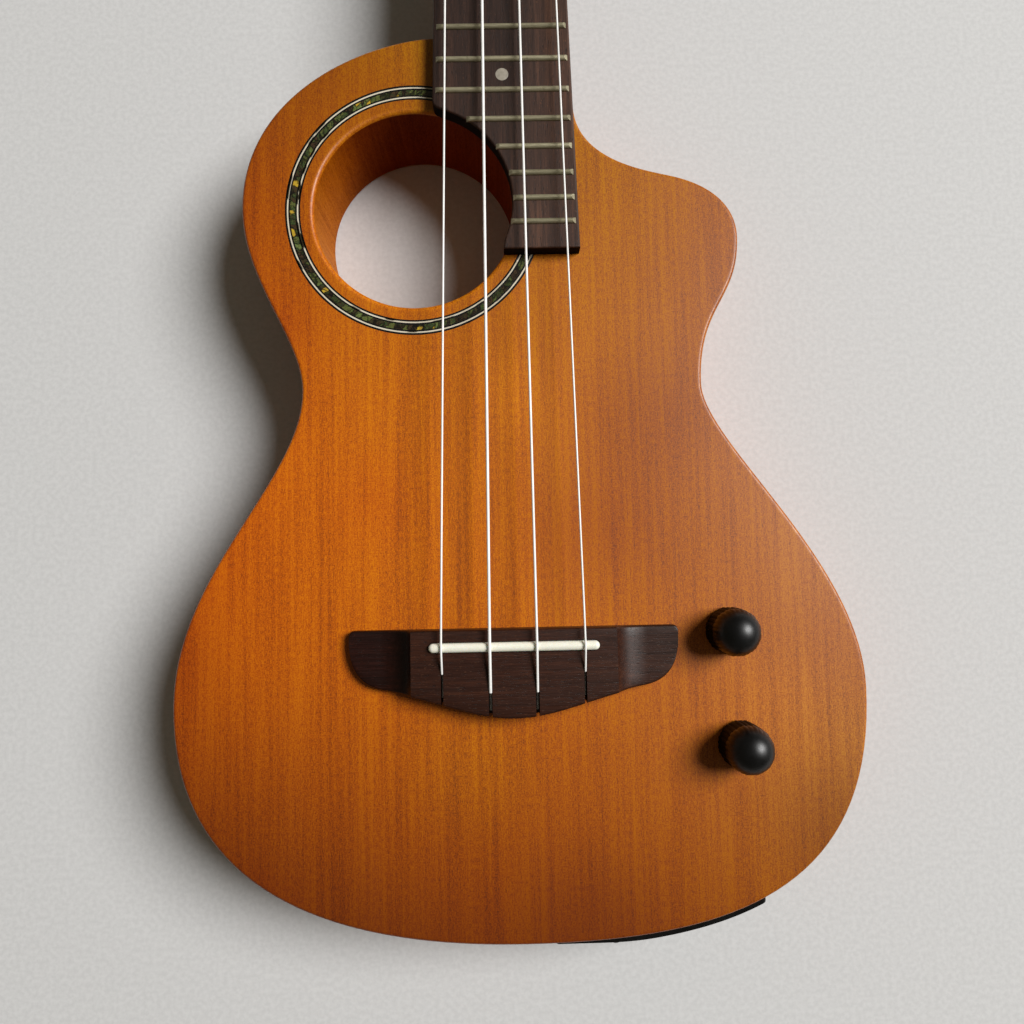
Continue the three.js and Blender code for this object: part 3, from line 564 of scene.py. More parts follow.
def dark_wood(name, light, middle, dark, along, pore=0.6, roughness=0.55, gloss=0.4, tint=None, bright=0.4):
    """Open-pored dark tonewood, with fine streaks and short dark pores along one axis."""
    finish = Finish(name, Specular_IOR_Level=gloss)
    streaks = finish.streaks(along, 0.9, 0.02, 4.0, 0.7, twist=0.2)
    fine = finish.streaks(along, 4.2, 0.12, 2.0, 0.6)
    wide = finish.streaks(along, 0.11, 0.012, 2.0, 0.5)
    pores = finish.streaks(along, 3.4, 0.42, 1.0, 0.4)
    tone = finish.times(finish.spread(streaks, 0.28, 0.72), 0.45)
    for part, low, high, weight in ((fine, 0.25, 0.75, 0.3), (wide, 0.3, 0.7, 0.25)):
        tone = finish.plus(tone, finish.times(finish.spread(part, low, high), weight))
    colour = finish.ramp(tone, [(0.1, dark), (0.55, middle), (1.0, light)])
    open_pore = finish.spread(pores, 0.63, 0.7)
    colour = finish.blend(finish.times(open_pore, pore), colour, (14, 8, 7))
    pale = finish.spread(finish.streaks(along, 3.6, 1.1, 1.0, 0.5), 0.67, 0.74)
    colour = finish.blend(finish.times(pale, bright), colour, (128, 86, 58))
    # colour multiplied along x by a table; for the bridge this is painted light and shade
    if tint is not None:
        across = finish.parts(finish.place)[0]
        low, high = tint[0][0], tint[-1][0]
        strength = finish.ramp(finish.spread(across, low * MM, high * MM), [
            ((x - low) / (high - low), value) for x, value in tint])
        colour = finish.blend(1.0, colour, strength, "MULTIPLY")
    finish.set(Base_Color=colour, Roughness=finish.spread(fine, 0.3, 0.7, roughness - 0.05, roughness + 0.08))
    height = finish.minus(finish.times(fine, 0.5), open_pore)
    finish.bump(height, 0.5, 0.05)
    return finish


# how the colour runs across each piece: x and what it is multiplied by
BOARD_TINT = [
    (-24, (0.8, 0.76, 0.76, 1)), (0, (0.86, 0.82, 0.8, 1)), (8, grey(1.05)), (13, (1.35, 1.25, 1.15, 1)),
    (24, (1.3, 1.2, 1.1, 1)),
]
# painted light and shade across the bridge: painted shade over the left wing, a painted shadow on the step up to the
# block, and a painted sheen over the right
BRIDGE_LIGHT_AND_SHADE = [
    (-53, (0.56, 0.3, 0.25, 1)), (-39, (0.45, 0.3, 0.3, 1)), (-34, grey(0.12)), (-32.7, grey(0.12)),
    (-32.2, grey(0.95)), (10, grey(1)), (32.5, (1.15, 1.3, 1.5, 1)), (53, (1.1, 1.35, 1.6, 1)),
]
board_wood = dark_wood("board_wood", (92, 64, 50), (56, 39, 32), (30, 21, 19), "y", gloss=0.25,
                       tint=BOARD_TINT, bright=0.25)
# the fingerboard's cut and end faces: darker end grain, made near black as painted shade
end_grain_and_shade = dark_wood("end_grain_and_shade", (18, 13, 11), (10, 7, 6), (4, 3, 3), "y", roughness=0.75, gloss=0.1,
                      bright=0.1)
bridge_wood = dark_wood("bridge_wood", (80, 42, 23), (47, 21, 10), (22, 8, 4), "x", roughness=0.4, gloss=0.29,
                        bright=0.22, tint=BRIDGE_LIGHT_AND_SHADE)


def plain(name, light, dark, roughness, metallic=0.0, grain=0.35, depth=0.02, strength=0.3, stretch=(1, 1, 1),
          wear=None, **shader):
    """A made material: fine mottled colour, uneven gloss, slight relief, and wear at random spots."""
    finish = Finish(name, Metallic=metallic, **shader)
    fine = finish.noise([grain * 6 * s for s in stretch], 3.0, 0.6)
    slow = finish.noise([grain * 0.35 * s for s in stretch], 2.0, 0.5)
    mixed = finish.plus(finish.times(fine, 0.5), finish.times(slow, 0.5))
    colour = finish.ramp(mixed, [(0.35, dark), (0.65, light)])
    if wear is not None:
        spots = finish.spread(finish.noise([grain * 1.4] * 3, 4.0, 0.65), 0.62, 0.74)
        colour = finish.blend(finish.times(spots, 0.5), colour, wear)
    finish.set(Base_Color=colour, Roughness=finish.spread(mixed, 0.35, 0.65, roughness - 0.06, roughness + 0.08))
    finish.bump(fine, strength, depth)
    return finish


bone = plain("bone", (250, 246, 230), (240, 234, 214), 0.38, grain=0.25, depth=0.01, wear=(228, 216, 186),
             Subsurface_Weight=0.08)
nylon = plain("nylon", (250, 250, 248), (232, 231, 228), 0.3, grain=0.4, depth=0.005, strength=0.1)
fret_metal = plain("fret_metal", (190, 182, 152), (152, 145, 118), 0.33, 0.6, stretch=(0.15, 1, 1),
                   wear=(104, 96, 72))
bright_metal = plain("bright_metal", (214, 214, 212), (176, 176, 174), 0.24, 1.0, wear=(132, 130, 126))
cast_metal = plain("cast_metal", (168, 169, 172), (132, 133, 137), 0.36, 1.0, depth=0.02,
                   wear=(108, 108, 110))
button_metal = plain("button_metal", (196, 197, 200), (160, 161, 165), 0.22, 1.0, depth=0.01,
                     wear=(126, 126, 128))
black_rubber = plain("black_rubber", (5, 5, 6), (2, 2, 3), 0.38, grain=0.5, depth=0.03,
                     wear=(18, 19, 20), Specular_IOR_Level=0.45)
ribbed_rubber = plain("ribbed_rubber", (3, 3, 3), (1, 1, 1), 0.55, grain=0.5, depth=0.03,
                      wear=(14, 14, 15), Specular_IOR_Level=0.07)
black_plastic = plain("black_plastic", (11, 11, 11), (5, 5, 5), 0.4, grain=0.6, depth=0.03,
                      wear=(24, 23, 22), Specular_IOR_Level=0.32)
black_line = plain("black_line", (12, 10, 10), (6, 5, 5), 0.5, Specular_IOR_Level=0.2)
white_line = plain("white_line", (222, 214, 194), (200, 190, 166), 0.42)
pearl = plain("pearl", (166, 158, 144), (136, 129, 116), 0.3, grain=0.12, depth=0.006)
battery_skin = plain("battery_skin", (60, 62, 66), (42, 43, 47), 0.35, 0.3)
battery_band = plain("battery_band", (176, 112, 62), (150, 92, 48), 0.35, 0.6)


def abalone_finish():
    """Shell in short slanting pieces round the hole, mostly dark and green, with a few gold ones."""
    finish = Finish("abalone", Roughness=0.24, Specular_IOR_Level=0.5, Coat_Weight=0.3, Coat_Roughness=0.12)
    parts = finish.parts(finish.vector("SUBTRACT", finish.place, (HOLE[0] * MM, HOLE[1] * MM, 0)))
    angle = finish.math("ARCTAN2", parts[1], parts[0])
    radius = finish.vector("LENGTH", finish.joined(parts[0], parts[1]), output="Value")
    run = finish.plus(finish.times(angle, 40.8), finish.times(radius, 450))
    run = finish.plus(run, finish.times(finish.noise((0.5, 0.5, 0.5), 2.0, 0.5), 3.0))
    cells = {"Vector": finish.joined(finish.times(run, 0.62), finish.times(radius, 330)),
             "Scale": 1.0, "Randomness": 0.9}
    tile = finish.add("ShaderNodeTexVoronoi", cells)
    edge = finish.add("ShaderNodeTexVoronoi", cells, feature="DISTANCE_TO_EDGE").outputs["Distance"]
    pick = finish.parts(tile.outputs["Color"])
    swirl = finish.noise((0.9, 0.9, 0.9), 3.0, 0.65, twist=2.5)
    mixed = finish.plus(finish.times(pick[0], 0.62), finish.times(finish.spread(swirl, 0.34, 0.66), 0.38))
    colour = finish.ramp(mixed, [
        (0.0, (16, 14, 14)), (0.22, (30, 27, 20)), (0.33, (78, 56, 38)), (0.44, (42, 48, 30)),
        (0.58, (58, 78, 42)), (0.7, (100, 92, 48)), (0.83, (84, 112, 58)), (1.0, (136, 134, 84)),
    ])
    gold = finish.ramp(swirl, [(0.35, (150, 104, 66)), (0.5, (206, 178, 40)), (0.65, (196, 140, 60))])
    colour = finish.blend(finish.times(finish.math("GREATER_THAN", pick[1], 0.94), 0.85), colour, gold)
    colour = finish.blend(finish.spread(edge, 0.12, 0.03, 0.0, 0.8), colour, (14, 13, 11))
    finish.set(Base_Color=colour)
    finish.bump(swirl, 0.2, 0.02)
    return finish


abalone = abalone_finish()

# ------------------------------------------------------------------ body

OUTLINE = outline()
ROUND_STEPS = 8
FLAT_MARGIN = 0.5  # from the end of the rounded edge to where the flat is filled


def hole_ring(radius, z):
    return circle(*HOLE, radius, z, HOLE_STEPS)


def round_over(inner_z, outer_z):
    """Rings of the plate's outer edge, from its inner face to its flat outer face."""
    way = 1 if outer_z > inner_z else -1
    edge = [*rounded(EDGE_RADIUS, ROUND_STEPS), (EDGE_RADIUS + FLAT_MARGIN, 0)]
    return [at_height(OUTLINE, inner_z)] + [
        at_height(inset(OUTLINE, away), outer_z - way * down) for away, down in edge]


def hole_lip(flat_radius, inner_z, outer_z):
    """Rings from the flat face over the rounded lip of the hole to the plate's inner face."""
    way = 1 if outer_z > inner_z else -1
    stations = [(flat_radius, outer_z), (HOLE_RADIUS + BEAD + 0.4, outer_z)]
    stations += [(HOLE_RADIUS + back, outer_z - way * down) for down, back in rounded(BEAD, ROUND_STEPS)]
    return [hole_ring(radius, z) for radius, z in [*stations, (HOLE_RADIUS, inner_z)]]


def in_hole(corners):
    return np.hypot(*(corners[:, :2] - HOLE).T).max() < HOLE_RADIUS + 0.1


def top_board():
    shape = Shape()
    outer = shape.skin(round_over(CEILING, FACE), caps=(False, False))
    floor_z = FACE - GROOVE_DEPTH
    groove = shape.skin([hole_ring(r, z) for r, z in (
        (GROOVE[1], FACE), (GROOVE[1], floor_z), (GROOVE[0], floor_z), (GROOVE[0], FACE))], caps=(False, False))
    lip = shape.skin(hole_lip(37.6, CEILING, FACE), caps=(False, False))
    shape.join(groove[-1], lip[0])
    pots = []
    for x, y in KNOBS.values():
        pots.append([shape.ring(circle(x, y, 3.8, z, 24)) for z in (FACE, CEILING)])
        shape.join(*pots[-1])
    shape.fill(outer[-1], [groove[0], *(pot[0] for pot in pots)])
    shape.fill(outer[0], [lip[-1], *(pot[1] for pot in pots)])
    shape.paint(1, in_hole)
    shape.mats[:len(OUTLINE)] = [2] * len(OUTLINE)
    piece("top_board", shape, [top_wood, wall_wood, back_wood], replaces=["top_plate"])


def back_board():
    shape = Shape()
    outer = shape.skin(round_over(PLATE, 0), caps=(False, False))
    lip = shape.skin(hole_lip(40, PLATE, 0), caps=(False, False))
    shape.fill(outer[-1], [lip[0]])
    shape.fill(outer[0], [lip[-1]])
    shape.paint(1, in_hole)
    piece("back_board", shape, [back_wood, wall_wood], replaces=["back_plate"])


def hole_wall():
    shape = Shape()
    ring_body(shape, *HOLE, HOLE_RADIUS, HOLE_RADIUS + HOLE_WALL, PLATE, CEILING)
    piece("hole_wall", shape, wall_wood, replaces=["hole_liner"])


# the rectangular sleeve that the battery drawer slides in
SLEEVE_X = (BATTERY_X - 16.35, BATTERY_X + 16.35)
SLEEVE_Z = (6.4, 27.9)
SLEEVE_BACK = -36.0


def with_stops(loop, stops):
    """The loop with a point added wherever its lower right part crosses one of these x."""
    out = []
    for point, after in zip(loop, np.roll(loop, -1, 0)):
        out.append(point)
        if point[1] < -50 and point[0] > 4:
            for x in sorted(stops):
                if point[0] < x < after[0]:
                    out.append(point + (after - point) * (x - point[0]) / (after[0] - point[0]))
    return np.array(out)


def side_band():
    """The bent side, open where the neck joins and where the battery's sleeve passes through."""
    gap = 0.4
    gap_x = (SLEEVE_X[0] - gap, SLEEVE_X[1] + gap)
    loop = with_stops(outline(), gap_x)
    inner = inset(loop, SIDE)
    run = np.concatenate([[0], np.cumsum(np.linalg.norm(np.diff(loop, axis=0), axis=1))])
    levels = [PLATE, SLEEVE_Z[0] - gap, SLEEVE_Z[1] + gap, CEILING]
    shape = Shape()
    grain = []
    walls = []
    for line in (loop, inner):
        rows = []
        for z in levels:
            rows.append(shape.ring(at_height(line, z)))
            grain.extend((s, z, 0) for s in run)
        walls.append(rows)
    low, high = (int(np.argmin(np.hypot(loop[:, 0] - x, np.minimum(0, -50 - loop[:, 1])))) for x in gap_x)
    for rows in walls:
        for level in range(3):
            for i in range(len(loop) - 1):
                if not (level == 1 and low <= i < high):
                    shape.quad(rows[level], rows[level + 1], i, i + 1)
    outer, back = walls
    for level in (0, 3):
        shape.join(outer[level], back[level], closed=False)
    for i in (0, len(loop) - 1):
        for level in range(3):
            shape.face((outer[level][i], outer[level + 1][i], back[level + 1][i], back[level][i]))
    for level in (1, 2):
        for i in range(low, high):
            shape.quad(outer[level], back[level], i, i + 1)
    for i in (low, high):
        shape.face((outer[1][i], outer[2][i], back[2][i], back[1][i]))
    piece("side_band", shape, side_wood, replaces=["side_rim"], grain=grain)


def rosette():
    """Purfling rings and the shell ring in the top's groove."""
    radii = (GROOVE[0], 38.85, 39.33, 39.85, 41.65, 42.2, 42.68, GROOVE[1])
    lines = Shape()
    shell = Shape()
    for i, (inner, outer) in enumerate(zip(radii, radii[1:])):
        ring_body(shell if i == 3 else lines, *HOLE, inner, outer, FACE - GROOVE_DEPTH, FACE,
                  mat=1 if i in (1, 5) else 0)
    piece("rosette_lines", lines, [black_line, white_line], replaces=["rosette"])
    piece("rosette_shell", shell, abalone)


# ------------------------------------------------------------------ neck, fingerboard and frets


def neck():
    stations = [  # y, half width, top, bottom, fullness of the section
        (172, board_half(172), 35, 0, 5), (206, board_half(206), 35, 0, 5), (214, board_half(214), 35, 2.5, 4.4),
        (222, board_half(222), 35, 8.5, 3.6), (231, board_half(231), 35, 15, 3),
        (243, board_half(243), 35, 19.2, 2.5), (260, board_half(260), 35, 20.6, 2.3),
        (415, board_half(415), 35, 22, 2.2), (428, board_half(428), 35, 21, 2.3),
        (NUT_END, board_half(NUT_END), 35, 18.5, 2.8), (NUT_END + 4, 17.4, 32, 17.4, 4),
        (NUT_END + 10, 18, 30, 17, 5),
    ]
    table = np.array(stations)
    ys = np.concatenate([np.linspace(206, 262, 29), np.linspace(270, 410, 15), np.linspace(413, NUT_END, 16)])
    ends = (NUT_END + 0.05, NUT_END + 1.5, NUT_END + 4, NUT_END + 7, NUT_END + 10)

    def ring(y, start=None):
        half, top, bottom, full = (eased(table[:, 0], table[:, i], y) for i in range(1, 5))
        if y <= NUT_END:
            half, top = board_half(y), 35
        points = []
        for i in range(33):
            angle = math.pi * i / 32
            x = half * math.copysign(abs(math.cos(angle)) ** (2 / full), math.cos(angle))
            drop = (top - bottom) * math.sin(angle) ** (2 / full)
            points.append((x, y if start is None else start(x), top - drop))
        return points

    def joint(x):
        """The straight joint with the body, from one end of the outline to the other."""
        (x0, y0), (x1, y1) = ANCHORS[0][:2], ANCHORS[-1][:2]
        return y0 + (y1 - y0) * (np.clip(x, x0, x1) - x0) / (x1 - x0) + 0.3

    shape = Shape()
    shape.skin([ring(206, joint)] + [ring(y) for y in ys] + [ring(y) for y in ends])
    piece("neck_shaft", shape, neck_wood, replaces=["neck"], sharp=40)


def headstock():
    start = NUT_END + 4
    right = [
        ((17.5, start), (19, start + 12), (27, start + 14), (28, start + 26)),
        ((28, start + 26), (26, start + 62), (27, start + 92), (30, HEAD_END - 14)),
        ((30, HEAD_END - 14), (20, HEAD_END - 13), (12, HEAD_END), (0, HEAD_END)),
    ]
    half = np.vstack([bezier(points, 20) for points in right] + [[(0, HEAD_END)]])
    loop = np.vstack([half, half[-2::-1] * (-1, 1)])
    radius = 1.4
    edge = [*rounded(radius), (radius + 0.4, 0)]
    shape = Shape()
    shape.slab([at_height(inset(loop, away), HEAD_BACK + down) for away, down in edge[::-1]]
               + [at_height(inset(loop, away), HEAD_FACE - down) for away, down in edge])
    piece("headstock", shape, neck_wood, sharp=40)


def fingerboard():
    arc = np.linspace(math.acos((-18.4 - HOLE[0]) / BOARD_CUT), math.asin((132.5 - HOLE[1]) / BOARD_CUT), 60)
    cut = np.column_stack([HOLE[0] + BOARD_CUT * np.cos(arc), HOLE[1] + BOARD_CUT * np.sin(arc)])
    cut = np.vstack([cut, [(-0.1, 129.4), (-0.5, BOARD_END)]])
    left = [(-board_half(y), y) for y in np.linspace(SCALE, 177.4, 12)]
    corner = bezier([(-board_half(177.4), 177.4), (-23.1, 176.2), (-22.6, 175.5), (-21.6, 174.9)], 5)[1:]
    end = [(x, BOARD_END) for x in np.linspace(cut[-1][0], board_half(BOARD_END), 8)[1:-1]]
    right = [(board_half(y), y) for y in np.linspace(BOARD_END, SCALE, 20)]
    loop = np.vstack([left, corner, cut, end, right])
    radius = 0.55
    edge = [*rounded(radius), (radius + 0.3, 0)]
    shape = Shape()
    shape.slab([at_height(loop, FACE)] + [at_height(inset(loop, away), BOARD_TOP - down) for away, down in edge])
    # the faces of the cut round the hole and of the end get dark end grain with painted shade
    shape.paint(1, lambda corners: corners[:, 1].max() < 177 and corners[:, 2].min() < BOARD_TOP - 0.6)
    piece("fingerboard_wood", shape, [board_wood, end_grain_and_shade], replaces=["fingerboard"])
    dots = Shape()
    for number in (5, 7, 10, 12, 15):
        y = (fret_y(number) + fret_y(number - 1)) / 2
        for x in (-7.5, 7.5) if number == 12 else (0,):
            lathe(dots, x, y, BOARD_TOP, [(2.15, -0.6), (2.15, 0.02), (2.05, 0.05)], 32)
    piece("position_dots", dots, pearl)


def frets():
    for number in range(1, 21):
        low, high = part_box(f"fret_{number:02d}")
        y = fret_y(number)
        shape = Shape()
        arch = [(math.cos(a), math.sin(a)) for a in (math.pi * i / 16 for i in range(17))]
        shape.skin([[(x + lean * rise, y + 0.95 * along, BOARD_TOP - 0.02 + rise) for along, rise in arch]
                    for x, lean in ((low.x / MM, 1.15), (high.x / MM, -1.15))])
        piece(f"fret_wire_{number:02d}", shape, fret_metal,
              replaces=[f"fret_{number:02d}"], sharp=32)


# ------------------------------------------------------------------ bridge, saddle and strings


def cut_by(thing, tool_shape):
    """Takes a shape away from a piece, and applies the result."""
    mesh = mesh_of("tool", tool_shape)
    work = bmesh.new()
    work.from_mesh(mesh)
    bmesh.ops.recalc_face_normals(work, faces=work.faces)
    work.to_mesh(mesh)
    work.free()
    tool = add_object("tool", mesh)
    modifier = thing.modifiers.new("cut", "BOOLEAN")
    modifier.operation = "DIFFERENCE"
    modifier.solver = "EXACT"
    modifier.object = tool
    graph = bpy.context.evaluated_depsgraph_get()
    made = bpy.data.meshes.new_from_object(thing.evaluated_get(graph))
    thing.modifiers.remove(modifier)
    old = thing.data
    thing.data = made
    made.shade_smooth()
    made.set_sharp_from_angle(angle=math.radians(32))
    bpy.data.meshes.remove(old)
    bpy.data.objects.remove(tool)
    bpy.data.meshes.remove(mesh)


def bridge():
    half = np.vstack([
        bezier([(0, -24.9), (14, -24.9), (26, -18.1), (40.5, -16.2)], 60),
        bezier([(40.5, -16.2), (49.3, -15), (52.7, -9.4), (52.5, 0)], 60),
        [(52.5, 0)],
    ])
    half = half[:-1][half[:-1, 0] <= half[:, 0].max()]
    order = np.argsort(half[:, 0])
    low_x, low_y = half[order, 0], half[order, 1]

    tip_start = 51.1
    block_end, wing_start, block_high, wing_high = 32.4, 41.8, 7.6, 3.2

    def top_z(side):
        """The height over the block, down a curve, and over the wings."""
        if side <= block_end:
            return FACE + block_high
        if side >= wing_start:
            return FACE + wing_high
        t = np.linspace(0, 1, 60)
        curve_x = (1 - t) ** 2 * block_end + 2 * (1 - t) * t * 34.6 + t ** 2 * wing_start
        curve_z = (1 - t) ** 2 * block_high + 2 * (1 - t) * t * 3.7 + t ** 2 * wing_high
        return FACE + np.interp(side, curve_x, curve_z)

    def section(x):
        side = abs(x)
        high_y = 2.8
        if side > tip_start:
            high_y -= 1.6 * (1 - math.sqrt(max(0, 1 - ((side - tip_start) / 1.4) ** 2)))
        low = np.interp(side, low_x, low_y)
        z = top_z(side)
        radius = min(0.8, (high_y - low) / 2.4)
        x += BRIDGE_X
        edge = rounded(radius)
        points = [(x, low, FACE)] + [(x, low + away, z - down) for away, down in edge]
        points += [(x, y, z) for y in np.linspace(low + radius, high_y - radius, 8)[1:-1]]
        points += [(x, high_y - away, z - down) for away, down in edge[::-1]]
        return [*points, (x, high_y, FACE)]

    side = np.concatenate([
        np.linspace(0, 32.0, 24),
        [32.2, 32.38, 32.42, 32.55, 32.75, 33.0, 33.4, 33.9, 34.5, 35.3, 36.2, 37.2, 38.2, 39.4, 40.6, 41.8],
        np.linspace(42.8, 51.0, 9), tip_start + 1.36 * np.sin(np.linspace(0.1, math.pi / 2, 10)),
    ])
    xs = np.concatenate([-side[::-1], side[1:]])
    shape = Shape()
    shape.skin([section(x) for x in xs])
    thing = piece("bridge_wood_block", shape, bridge_wood, replaces=["bridge"], sharp=32)
    tools = Shape()
    for x, _, _, width, leaves, _ in STRINGS.values():
        box(tools, (x - width / 2, -30, FACE + 0.6), (x + width / 2, leaves + 0.6, FACE + 14))
    cut_by(thing, tools)
    tool = Shape()
    tool.skin([bar_ring(26.95 - 1.65, 1.65, z) for z in (FACE + 3.4, FACE + 14)])
    cut_by(thing, tool)


def bar_ring(reach, radius, z):
    """A ring round two arcs, whose centres lie this far to each side of the bridge's middle."""
    points = [(reach + radius * math.cos(a), SADDLE_Y + radius * math.sin(a))
              for a in np.linspace(-math.pi / 2, math.pi / 2, 17)]
    points += [(-x, 2 * SADDLE_Y - y) for x, y in points]
    return [(x + BRIDGE_X, y, z) for x, y in points]


def saddle():
    """A bar with round ends and a crowned top."""
    radius, half, crown = 1.45, 26.75, 1.25
    low, high = FACE + 4.6, FACE + 9.45
    stations = [(0, low), (0, high - crown)]
    stations += [(radius * (1 - math.cos(a)), high - crown + crown * math.sin(a))
                 for a in np.linspace(0.2, math.pi / 2 - 0.12, 7)]
    shape = Shape()
    shape.skin([bar_ring(half - radius, max(0.12, radius - away), z) for away, z in stations])
    piece("saddle_bone", shape, bone, replaces=["saddle"], sharp=40)


def strings():
    for name, (saddle_x, nut_x, radius, _, leaves, row) in STRINGS.items():
        side = math.copysign(1, saddle_x)
        post_x, post_y = TUNER_ROWS[row]
        lower = -18.3 if row == 0 else -22.5
        touch = 3 + radius + 0.3
        at_bridge = [(lower, 4.6), (leaves - 1.5, 4.7)]
        at_bridge += [(leaves - 1.5 + 1.7 * math.sin(a), 7.9 - 2.9 * math.cos(a)) for a in np.linspace(0.5, 1.45, 7)]
        at_bridge += [(-4.6, 9.7), (-3.6, 9.93), (-2.6, 10), (-1.6, 10)]
        path = [(saddle_x, y, FACE + rise) for y, rise in at_bridge]
        path += [(saddle_x + (nut_x - saddle_x) * t, SCALE * t, FACE + 10 - 2.5 * t)
                 for t in np.linspace(0.02, 0.98, 12)]
        path += [(nut_x, SCALE, FACE + 7.5), (nut_x, NUT_END - 1.5, FACE + 7.44),
                 (nut_x + side * 0.1, NUT_END, FACE + 7.3), (side * (post_x - touch), post_y - 2, HEAD_FACE + 6)]
        shape = Shape()
        tube_along(shape, path, radius)
        piece(f"string_line_{name}", shape, nylon, replaces=[f"string_{name}"])
        coil = Shape()
        reach = 2.4 + radius
        winding = [(side * post_x + reach * math.cos(a), post_y + reach * math.sin(a),
                    HEAD_FACE + 4.6 + radius + (2 * radius + 0.06) * a / (2 * math.pi))
                   for a in np.linspace(0, 3.2 * 2 * math.pi, 110)]
        tube_along(coil, winding, radius, 8)
        piece(f"string_coil_{name}", coil, nylon, body=f"tuner_{name}_post")


def nut():
    half = board_half(SCALE)
    shape = Shape()
    top = BOARD_TOP + 2.5
    profile = [(0, FACE), (4.5, FACE), (4.5, top - 1.6)]
    profile += [(4.5 - 1.2 * (1 - math.cos(a)), top - 1.6 + 0.9 * math.sin(a)) for a in np.linspace(0.3, 1.57, 5)]
    profile += [(0.5, top), (0.12, top - 0.12), (0, top - 0.5)]
    rings = []
    for x, shrink in ((-half, 0.45), (-half + 0.15, 0.2), (-half + 0.5, 0.0), (half - 0.5, 0.0),
                      (half - 0.15, 0.2), (half, 0.45)):
        rings.append([(x, SCALE + y, z - shrink * (z - FACE) / (top - FACE)) for y, z in profile])
    shape.skin(rings)
    thing = piece("nut_bone", shape, bone, replaces=["nut"], sharp=32)
    tools = Shape()
    for _, nut_x, radius, _, _, _ in STRINGS.values():
        width = radius + 0.12
        box(tools, (nut_x - width, SCALE - 1, FACE + 7.5 - radius - 0.12), (nut_x + width, SCALE + 8, top + 2))
    cut_by(thing, tools)


# ------------------------------------------------------------------ tuners


def bar_along_x(shape, cy, cz, rings, sides=24):
    """Rings of (x, half in y, half in z) joined along X."""
    shape.skin([[(x, cy + half_y * math.cos(a), cz + half_z * math.sin(a)) for a in turn(sides)]
                for x, half_y, half_z in rings])


def tuners():
    axle_z = HEAD_BACK - 4.8
    for name, (saddle_x, _, _, _, _, row) in STRINGS.items():
        side = math.copysign(1, saddle_x)
        x, y = side * TUNER_ROWS[row][0], TUNER_ROWS[row][1]
        case = Shape()
        box(case, (x - 6.5, y - 9, HEAD_BACK - 8.9), (x + 6.5, y + 9, HEAD_BACK - 0.02))
        piece(f"tuner_case_{name}", case, cast_metal, replaces=[f"tuner_{name}_housing"],
              bevel=1.5)
        fittings = Shape()
        lathe(fittings, x, y, HEAD_FACE, [(3.3, 0.02), (5.3, 0.02), (5.3, 0.4), (5.0, 0.6), (4.5, 0.6)], 40,
              caps=(False, False))
        lathe(fittings, x, y, HEAD_FACE, [(4.6, 0.5), (4.6, 1.2), (4.2, 1.5), (3.35, 1.5), (3.35, -14)], 6,
              caps=(False, False))
        for sign in (-1, 1):
            lathe(fittings, x, y + sign * 5.9, HEAD_BACK, [(1.5, -9.3), (1.5, -8.7)], 20)
        bar_along_x(fittings, y, axle_z, [(x + side * 6.3, 3.3, 3.3), (x + side * 8.2, 3.3, 3.3),
                                          (x + side * 8.6, 2.8, 2.8)])
        piece(f"tuner_fittings_{name}", fittings, bright_metal, sharp=30)
        post = Shape()
        lathe(post, x, y, HEAD_FACE, [
            (2.95, -15), (2.95, 3.4), (2.8, 3.9), (2.42, 4.4), (2.36, 6), (2.42, 7.6), (2.85, 8.4), (2.95, 8.8),
            (2.95, 10.2), (2.7, 10.75), (2.2, 11)], 40)
        thing = piece(f"tuner_shaft_{name}", post, bright_metal, body=f"tuner_{name}_post",
                      replaces=[f"tuner_{name}_post"], sharp=40)
        bore = Shape()
        bar_along_x(bore, y, HEAD_FACE + 9.3, [(x - 5, 0.6, 0.6), (x + 5, 0.6, 0.6)], 16)
        cut_by(thing, bore)
        button = Shape()
        stations = [(0.0, 0.34), (0.06, 0.44), (0.16, 0.66), (0.28, 0.86), (0.42, 0.97), (0.55, 1.0), (0.68, 0.98),
                    (0.8, 0.88), (0.9, 0.7), (0.96, 0.5), (1.0, 0.24)]
        rings = [(side * (34.5 + 13 * along), 6.5 * size, 3.4 * math.sqrt(size) * (0.72 + 0.28 * (1 - size)))
                 for along, size in stations]
        bar_along_x(button, y, axle_z, rings, 32)
        bar_along_x(button, y, axle_z, [(side * (abs(x) + 3.4), 1.75, 1.75), (side * 35.2, 1.75, 1.75)], 20)
        piece(f"tuner_key_{name}", button, button_metal, body=f"tuner_{name}_button",
              replaces=[f"tuner_{name}_button"], sharp=50)


# ------------------------------------------------------------------ knobs, plate, jack and battery


